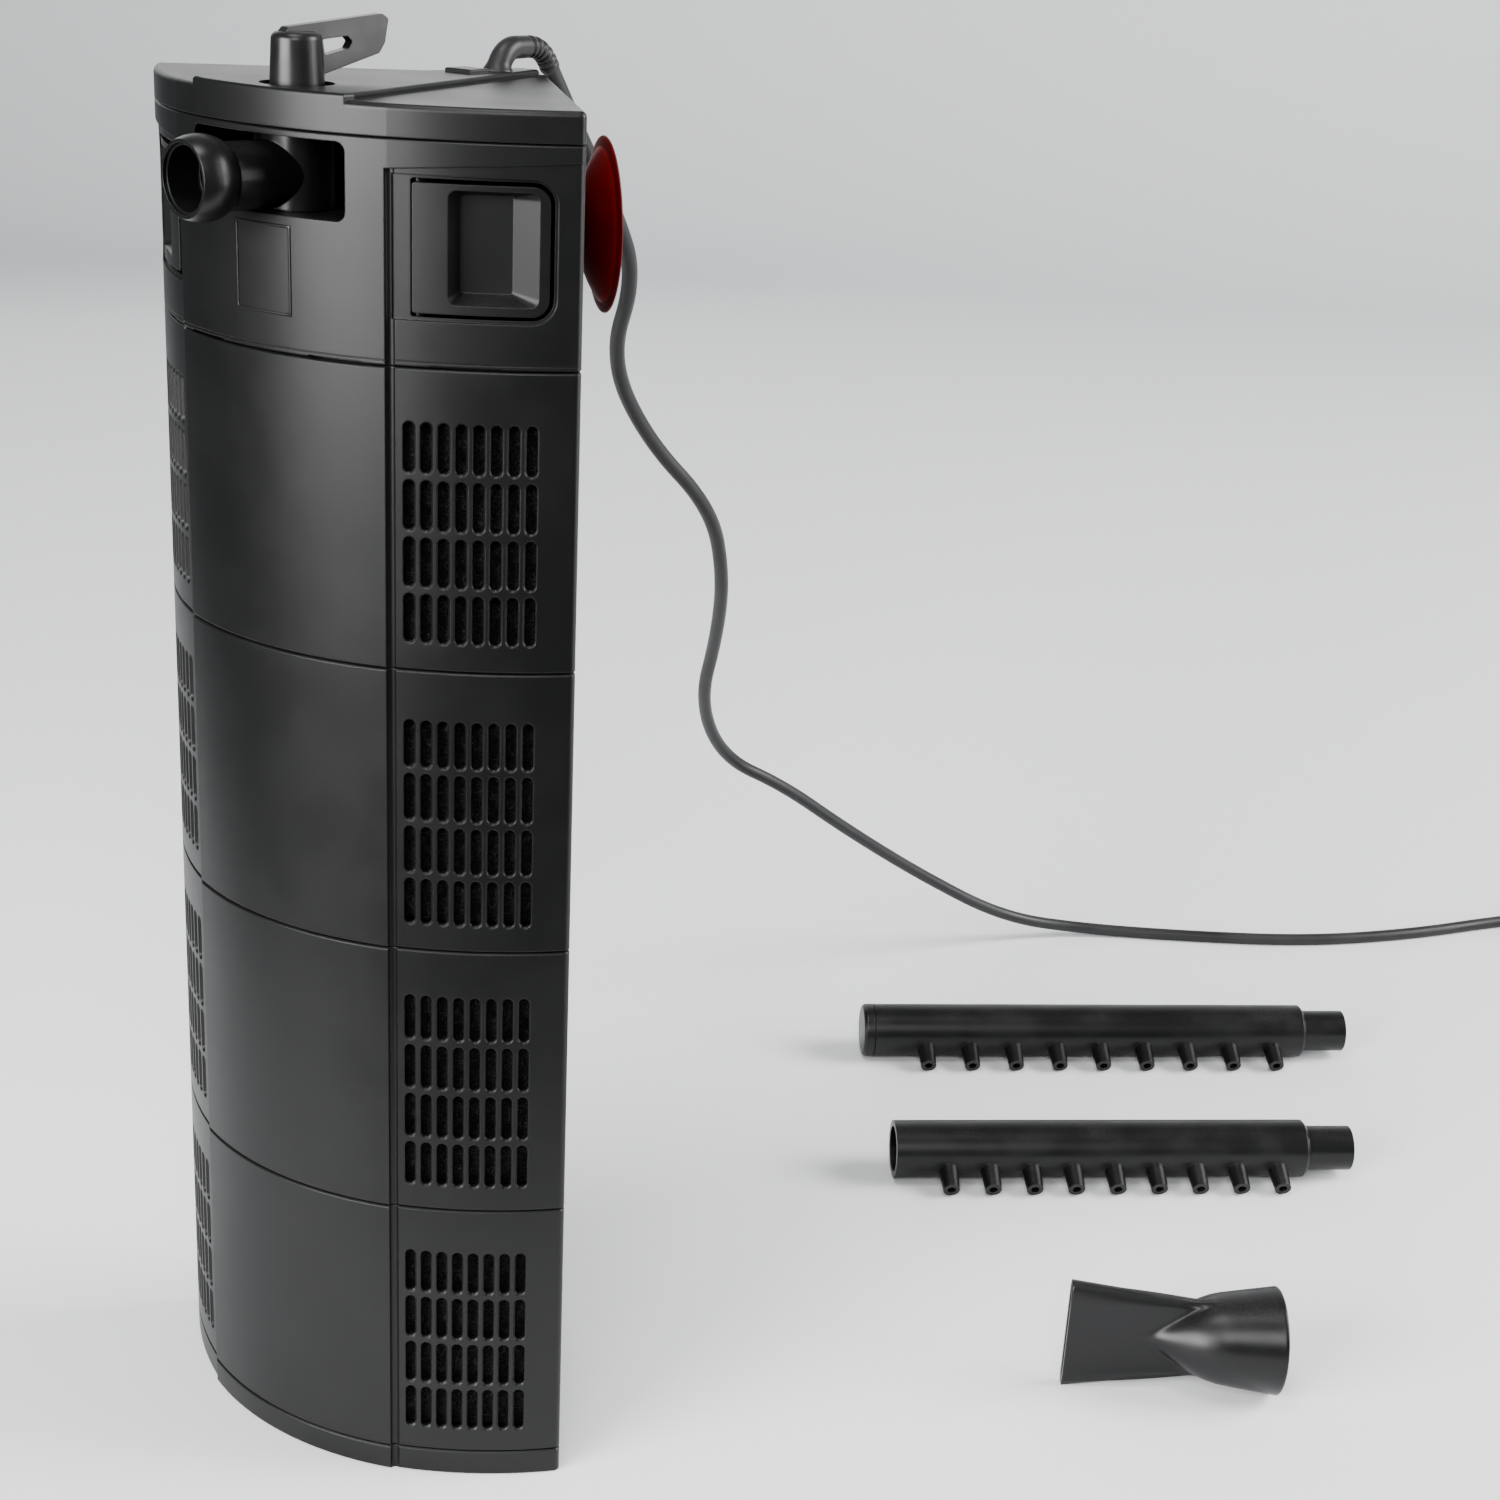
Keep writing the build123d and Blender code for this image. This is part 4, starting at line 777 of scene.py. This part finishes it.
def add_foam(number, pattern):
    """The foam of one module, pitted all over."""
    node = f"foam_block_{number}"
    block = bpy.data.objects.new(f"porous_foam_{number}", nodes[node].data.copy())
    bpy.context.scene.collection.objects.link(block)
    remesh = block.modifiers.new("even", "REMESH")
    remesh.mode = "VOXEL"
    remesh.voxel_size = foam_grain
    even = bpy.data.meshes.new_from_object(block.evaluated_get(bpy.context.evaluated_depsgraph_get()))
    block.modifiers.clear()
    block.data = even
    shifts = [vertex.normal * porous(vertex.co + pattern) for vertex in even.vertices]
    for vertex, shift in zip(even.vertices, shifts):
        vertex.co -= shift
    for polygon in even.polygons:
        polygon.use_smooth = True
    finish_piece(block, f"module_{number}", "filter_foam", node)
    return block


foams = [add_foam(number, Vector((0.013 * number, 0.007 * number, 0))) for number in (1, 2, 3, 4)]
print("foam faces", [len(block.data.polygons) for block in foams])

# %% [markdown]
# ## Strain relief on the cover
#
# The cable leaves the cover through a moulded elbow. It is a tapered sleeve round the cable with
# ring-shaped grooves near its end, which let it bend evenly. Its line is a curve with the elbow's
# corner points, and the sleeve's rings are set square to that line.

# %%
elbow_route = [(0.0, 50.0, 392.0), (0.0, 50.0, 400.0), (0.0, 68.2, 400.0), (0.0, 72.9, 393.28)]
elbow_bends = (7.0, 10.0)
sleeve_root = 3.4
sleeve_end = 2.85
foot_flare = 1.1
foot_height = 2.0
foot_fillet = 2.4
groove_depth = 0.45
groove_pitch = 2.2
groove_stretch = (2.0, 15.0)    # distances from the sleeve's end
mouth_chamfer = 0.35
mouth_length = 0.8


def rounded_route(points, radii, step=0.35):
    """Points in mm along straight runs joined by arcs, close together."""
    found = []
    legs = [Vector(point) for point in points]
    cursor = legs[0]
    for before, here, after, radius in zip(legs, legs[1:], legs[2:], radii):
        into = (here - before).normalized()
        out = (after - here).normalized()
        half = into.angle(out) / 2
        cut = radius * sin(half) / cos(half)
        start = here - into * cut
        count = max(1, round((start - cursor).length / step))
        found += [cursor.lerp(start, index / count) for index in range(count)]
        centre = start + (out - into * into.dot(out)).normalized() * radius
        count = max(4, round(2 * half * radius / step))
        axis = into.cross(out)
        for index in range(count):
            found.append(centre + Matrix.Rotation(2 * half * index / count, 3, axis) @ (start - centre))
        cursor = here + out * cut
    count = max(1, round((legs[-1] - cursor).length / step))
    found += [cursor.lerp(legs[-1], index / count) for index in range(count + 1)]
    return found


def tube_rings(line, radii, segments=40):
    """Rings square to a line, one radius in mm for each of its points."""
    rings = []
    side = Vector((1, 0, 0))
    for index, (point, radius) in enumerate(zip(line, radii)):
        along = (line[min(index + 1, len(line) - 1)] - line[max(index - 1, 0)]).normalized()
        side = (side - along * side.dot(along)).normalized()
        other = along.cross(side)
        ring = []
        for step in range(segments):
            angle = tau * step / segments
            ring.append((point + (side * cos(angle) + other * sin(angle)) * radius) * MM)
        rings.append(ring)
    return rings


def add_elbow():
    """Tapered, grooved sleeve with a flared foot."""
    line = rounded_route(elbow_route, elbow_bends)
    lengths = [0.0]
    for before, after in zip(line, line[1:]):
        lengths.append(lengths[-1] + (after - before).length)
    radii = []
    for length in lengths:
        share = length / lengths[-1]
        radius = sleeve_root + (sleeve_end - sleeve_root) * share
        flare = max(0.0, 1 - max(length - foot_height, 0) / foot_fillet)
        radius += foot_flare * flare * flare
        from_end = lengths[-1] - length
        if groove_stretch[0] < from_end < groove_stretch[1]:
            wave = cos(from_end / groove_pitch * tau)
            radius -= groove_depth * min(max((wave - 0.2) / 0.4, 0.0), 1.0)
        if from_end < mouth_length:
            radius -= mouth_chamfer * (1 - from_end / mouth_length)
        radii.append(radius)
    elbow = skin_rings("strain_relief", tube_rings(line, radii))
    return finish_piece(elbow, "pump_head", "cable_pvc", "cable_guide")


elbow = add_elbow()
print("strain relief", len(elbow.data.vertices), "points")

# %% [markdown]
# ## Mains plug
#
# A moulded flat plug: the sleeve round the cable is ringed for bending, then the body widens, with
# finger ridges on its flat sides. It is one skin through rounded-rectangle sections.

# %%
plug_place = Matrix.Translation(coil_centre + Vector((0, 0, plug_height)))
plug_place = plug_place @ Matrix.Rotation(plug_direction, 4, "Z")
plug_place = plug_place @ Matrix.Translation(Vector((tail_length, coil_outer, 0)))
sleeve_rings = 5
sleeve_ring_pitch = 3.8
sleeve_ring_growth = 0.42
grip_ridges = 5
grip_ridge_pitch = 2.3


def rounded_share(value, squareness):
    """A cosine or sine pushed outwards towards the corners."""
    return abs(value) ** squareness * (1 if value >= 0 else -1)


def plug_section(along, half_width, half_height, power, segments=56):
    """Rounded-rectangle ring across the plug; power 2 is an ellipse, more is squarer."""
    ring = []
    for step in range(segments):
        angle = tau * step / segments
        across = rounded_share(cos(angle), 2 / power) * half_width
        up = rounded_share(sin(angle), 2 / power) * half_height
        ring.append(plug_place @ (Vector((along, across, up)) * MM))
    return ring


def add_plug():
    """Body with its ringed sleeve; each station is place, half width, half height and squareness."""
    stations = [(0.0, 2.7, 2.7, 2.0), (0.3, 3.1, 3.1, 2.0)]
    for index in range(sleeve_rings):
        start = 2.4 + index * sleeve_ring_pitch
        grown = index * sleeve_ring_growth
        stations += [(start, 3.2 + grown, 3.2 + grown * 0.6, 2.1),
                     (start + 0.35, 2.7 + grown, 2.7 + grown * 0.5, 2.1),
                     (start + 1.55, 2.75 + grown, 2.75 + grown * 0.5, 2.1),
                     (start + 1.9, 3.35 + grown, 3.3 + grown * 0.6, 2.1)]
    stations += [(22.5, 5.6, 4.9, 2.2), (24.5, 6.9, 5.6, 2.5), (28.0, 8.8, 6.1, 2.9),
                 (32.0, 10.9, 6.45, 3.3), (35.5, 12.3, 6.6, 3.9), (38.0, 12.9, 6.65, 4.4)]
    for index in range(grip_ridges):
        start = 39.2 + index * grip_ridge_pitch
        stations += [(start, 12.9, 6.65, 4.6), (start + 0.5, 12.95, 6.25, 4.6),
                     (start + 1.1, 12.95, 6.25, 4.6), (start + 1.6, 12.9, 6.65, 4.6)]
    stations += [(52.0, 13.0, 6.8, 5.0), (57.5, 13.0, 6.82, 5.0), (59.0, 12.8, 6.6, 4.8),
                 (59.8, 12.3, 6.1, 4.5), (60.0, 11.4, 5.2, 4.2)]
    plug = skin_rings("moulded_plug", [plug_section(*station) for station in stations])
    return finish_piece(plug, "pump_head", "cable_pvc", "plug_body")


plug = add_plug()
print("plug", len(plug.data.vertices), "points")

# %% [markdown]
# ## Cable tie
#
# The coil is held by one flat tie: a closed band round all its turns, squeezed to their rounded
# outline.

# %%
tie_angle = radians(60)
tie_half_width = 2.2 * MM
tie_thickness = 0.5 * MM
tie_squareness = 0.6
tie_steps = 48


def add_tie():
    """A band round the coil's section at one place."""
    outward = Vector((cos(tie_angle), sin(tie_angle), 0))
    beside = Vector((-outward.y, outward.x, 0))
    centre = coil_centre + outward * (coil_outer + coil_inner) / 2 + Vector((0, 0, cable_radius * 2))
    loop = []
    half_across = (coil_outer - coil_inner) / 2 + cable_radius + 0.25 * MM
    half_up = cable_radius * 2 - 0.3 * MM
    for step in range(tie_steps):
        turn = tau * step / tie_steps
        across = rounded_share(cos(turn), tie_squareness) * half_across
        loop.append((across, rounded_share(sin(turn), tie_squareness) * half_up))
    mesh = bmesh.new()
    rows = []
    for side, grow in ((-1, 0), (-1, 1), (1, 1), (1, 0)):
        row = []
        for across, up in loop:
            swell = 1 + grow * tie_thickness / Vector((across, up)).length
            lift = max(up * swell, -cable_radius * 2 + 0.05 * MM)
            point = centre + outward * across * swell + Vector((0, 0, lift))
            row.append(mesh.verts.new(point + beside * side * tie_half_width))
        rows.append(row)
    for low, high in zip(rows, rows[1:] + rows[:1]):
        for index in range(tie_steps):
            after = (index + 1) % tie_steps
            mesh.faces.new((low[index], low[after], high[after], high[index]))
    bmesh.ops.recalc_face_normals(mesh, faces=mesh.faces)
    data = bpy.data.meshes.new("cable_tie")
    mesh.to_mesh(data)
    mesh.free()
    tie = bpy.data.objects.new("cable_tie", data)
    bpy.context.scene.collection.objects.link(tie)
    return finish_piece(tie, "pump_head", "seal_rubber")


tie = add_tie()
print("tie", len(tie.data.polygons), "faces")

# %% [markdown]
# ## Wide jet nozzle
#
# A fishtail: a round flared mouth that slips over the outlet's ball, and a flat blade with a slot along
# its far edge. The round part runs out into the blade in a smooth cone. Each section is the outer edge
# of two shapes, a circle and a flat bar, with their crossing eased, so the skin flows from one to the
# other.

# %%
jet_middle = (197.4, 150.7)
jet_angle = radians(37.0)
jet_length = 67.0
jet_neck = 43.0             # place of the neck, from the blade's slot
jet_tip = 23.0              # place of the cone's tip
jet_mouth_radius = 17.0
jet_neck_radius = 12.6
jet_blend = 3.6             # ease between the cone and the flare
jet_crossing = jet_neck_radius + jet_blend / 4
jet_blade_half = 18.5
jet_blade_thickness = 4.4
jet_edge_squareness = 14
jet_wall = 1.4
jet_ease = 2.6              # ease between the round part and the blade, outside
jet_inner_ease = 1.0
jet_lip = 0.35
jet_segments = 96


def smooth_larger(first, second, ease):
    """The larger of two lengths, with an eased crossing."""
    share = max(ease - abs(first - second), 0.0) / ease
    return max(first, second) + share * share * ease / 4


def jet_cone(along):
    """Radius of the round part: a steep cone from its tip, eased into a slight flare towards the mouth."""
    steep = jet_crossing * (along - jet_tip) / (jet_neck - jet_tip)
    slight = jet_crossing + (jet_mouth_radius - jet_crossing) * (along - jet_neck) / (jet_length - jet_neck)
    return max(-smooth_larger(-steep, -slight, jet_blend), 0.0)


def jet_section(along, inset):
    """Radii of the nozzle's section, all round, in mm."""
    round_part = max(jet_cone(along) - inset, 0.0)
    if along > jet_neck + 2:
        return [round_part] * jet_segments
    blade_share = min(along / jet_neck, 1.0)
    blade_half = jet_blade_half + (jet_neck_radius - jet_blade_half) * blade_share - inset
    half_thick = jet_blade_thickness / 2 - inset
    ease = jet_inner_ease if inset else jet_ease
    radii = []
    for step in range(jet_segments):
        angle = tau * step / jet_segments
        upward = max(abs(cos(angle)) / blade_half, 1e-6) ** jet_edge_squareness
        sideways = max(abs(sin(angle)) / half_thick, 1e-6) ** jet_edge_squareness
        bar = (upward + sideways) ** (-1 / jet_edge_squareness)
        radii.append(smooth_larger(bar, round_part, ease) if round_part > 0.3 else bar)
    return radii


def add_jet():
    """Outer and inner skins, joined round the mouth and round the slot."""
    lean = asin((jet_blade_half - jet_mouth_radius) / jet_length)
    place = Matrix.Translation(Vector((*jet_middle, 0)) * MM) @ Matrix.Rotation(jet_angle, 4, "Z")
    place = place @ Matrix.Translation(Vector((-jet_length / 2, 0, jet_blade_half)) * MM)
    place = place @ Matrix.Rotation(lean, 4, "Y")
    stops = [0.0, 0.5, 1.5] + [3.0 + index * 2.0 for index in range(10)]
    stops += [jet_tip + index * 1.25 for index in range(1, 17)] + [45.5, 47.5, 49.5, 51.0]
    stops += [52.0 + index * 1.25 for index in range(12)] + [jet_length]

    def ring(along, inset):
        radii = jet_section(along, inset)
        points = []
        for step, radius in enumerate(radii):
            angle = tau * step / jet_segments
            points.append(place @ (Vector((along, sin(angle) * radius, cos(angle) * radius)) * MM))
        return points

    outside = [ring(stop, 0.0) for stop in stops]
    inside = [ring(stop, jet_wall) for stop in stops]
    outer_lips = [ring(jet_length - jet_lip, 0.0), ring(jet_length, jet_lip)]
    inner_lip = ring(jet_length - 0.1, jet_wall - 0.25)
    outline = outside[:-1] + outer_lips + [inner_lip] + list(reversed(inside[:-1]))
    jet = skin_rings("fishtail_jet", outline + [outline[0]], close_start=False, close_end=False)
    mesh = bmesh.new()
    mesh.from_mesh(jet.data)
    bmesh.ops.remove_doubles(mesh, verts=mesh.verts, dist=1e-7)
    bmesh.ops.recalc_face_normals(mesh, faces=mesh.faces)
    mesh.to_mesh(jet.data)
    mesh.free()
    return finish_piece(jet, "wide_jet_nozzle", "nozzle_grey", "wide_jet_nozzle")


jet = add_jet()
print("fishtail", len(jet.data.polygons), "faces")

# %% [markdown]
# ## Bare plate on the front panel
#
# The centre panel carries a small raised plate under the outlet. It stays bare: only its raised border
# shows. It follows the panel's curve, so its points are laid out flat and then pushed onto the
# cylinder.

# %%
panel_radius = 95.0
panel_half_width = 37.0
panel_edge_y = -34.9        # where the curve meets the panel's side edges
panel_axis_y = panel_edge_y + sqrt(panel_radius ** 2 - panel_half_width ** 2)
plate_left, plate_right = -8.7, 10.6
plate_low, plate_high = 337.6, 360.6
border_section = ((0.0, -0.2), (0.0, 0.16), (0.14, 0.26), (0.66, 0.26), (0.8, 0.16), (0.8, 0.07))
side_steps = 24


def add_plate():
    """A raised border, round a field that lies flush."""
    rings = []
    for inset, height in border_section:
        left, right = plate_left + inset, plate_right - inset
        low, high = plate_low + inset, plate_high - inset
        corners = [(left, low), (right, low), (right, high), (left, high)]
        ring = []
        for start, end in zip(corners, corners[1:] + corners[:1]):
            for step in range(side_steps):
                share = step / side_steps
                ring.append([first + (second - first) * share for first, second in zip(start, end)])
        radius = panel_radius + height
        points = []
        for across, up in ring:
            angle = asin(across / panel_radius)
            points.append(Vector((radius * sin(angle), panel_axis_y - radius * cos(angle), up)) * MM)
        rings.append(points)
    plate = skin_rings("bare_plate_border", rings, close_start=False, close_end=False)
    return finish_piece(plate, "pump_head", "satin_black")


plate = add_plate()
print("plate border", len(plate.data.polygons), "faces")

# %% [markdown]
# ## Dressing the cable
#
# The cable is one piece of a known length, with the plug on its far end. It gets its finish and hangs
# from the pump head's body, and it stands for the CAD's rigid cable solids, which are hidden.

# %%
dress(cable, "cable_pvc")
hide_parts("mains_cable", "cable_coil", "cable_tail")
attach(cable, "pump_head")
print("cable declared,", round(cable_length, 3), "m, with", plug.name, tie.name, "and plug_pins")
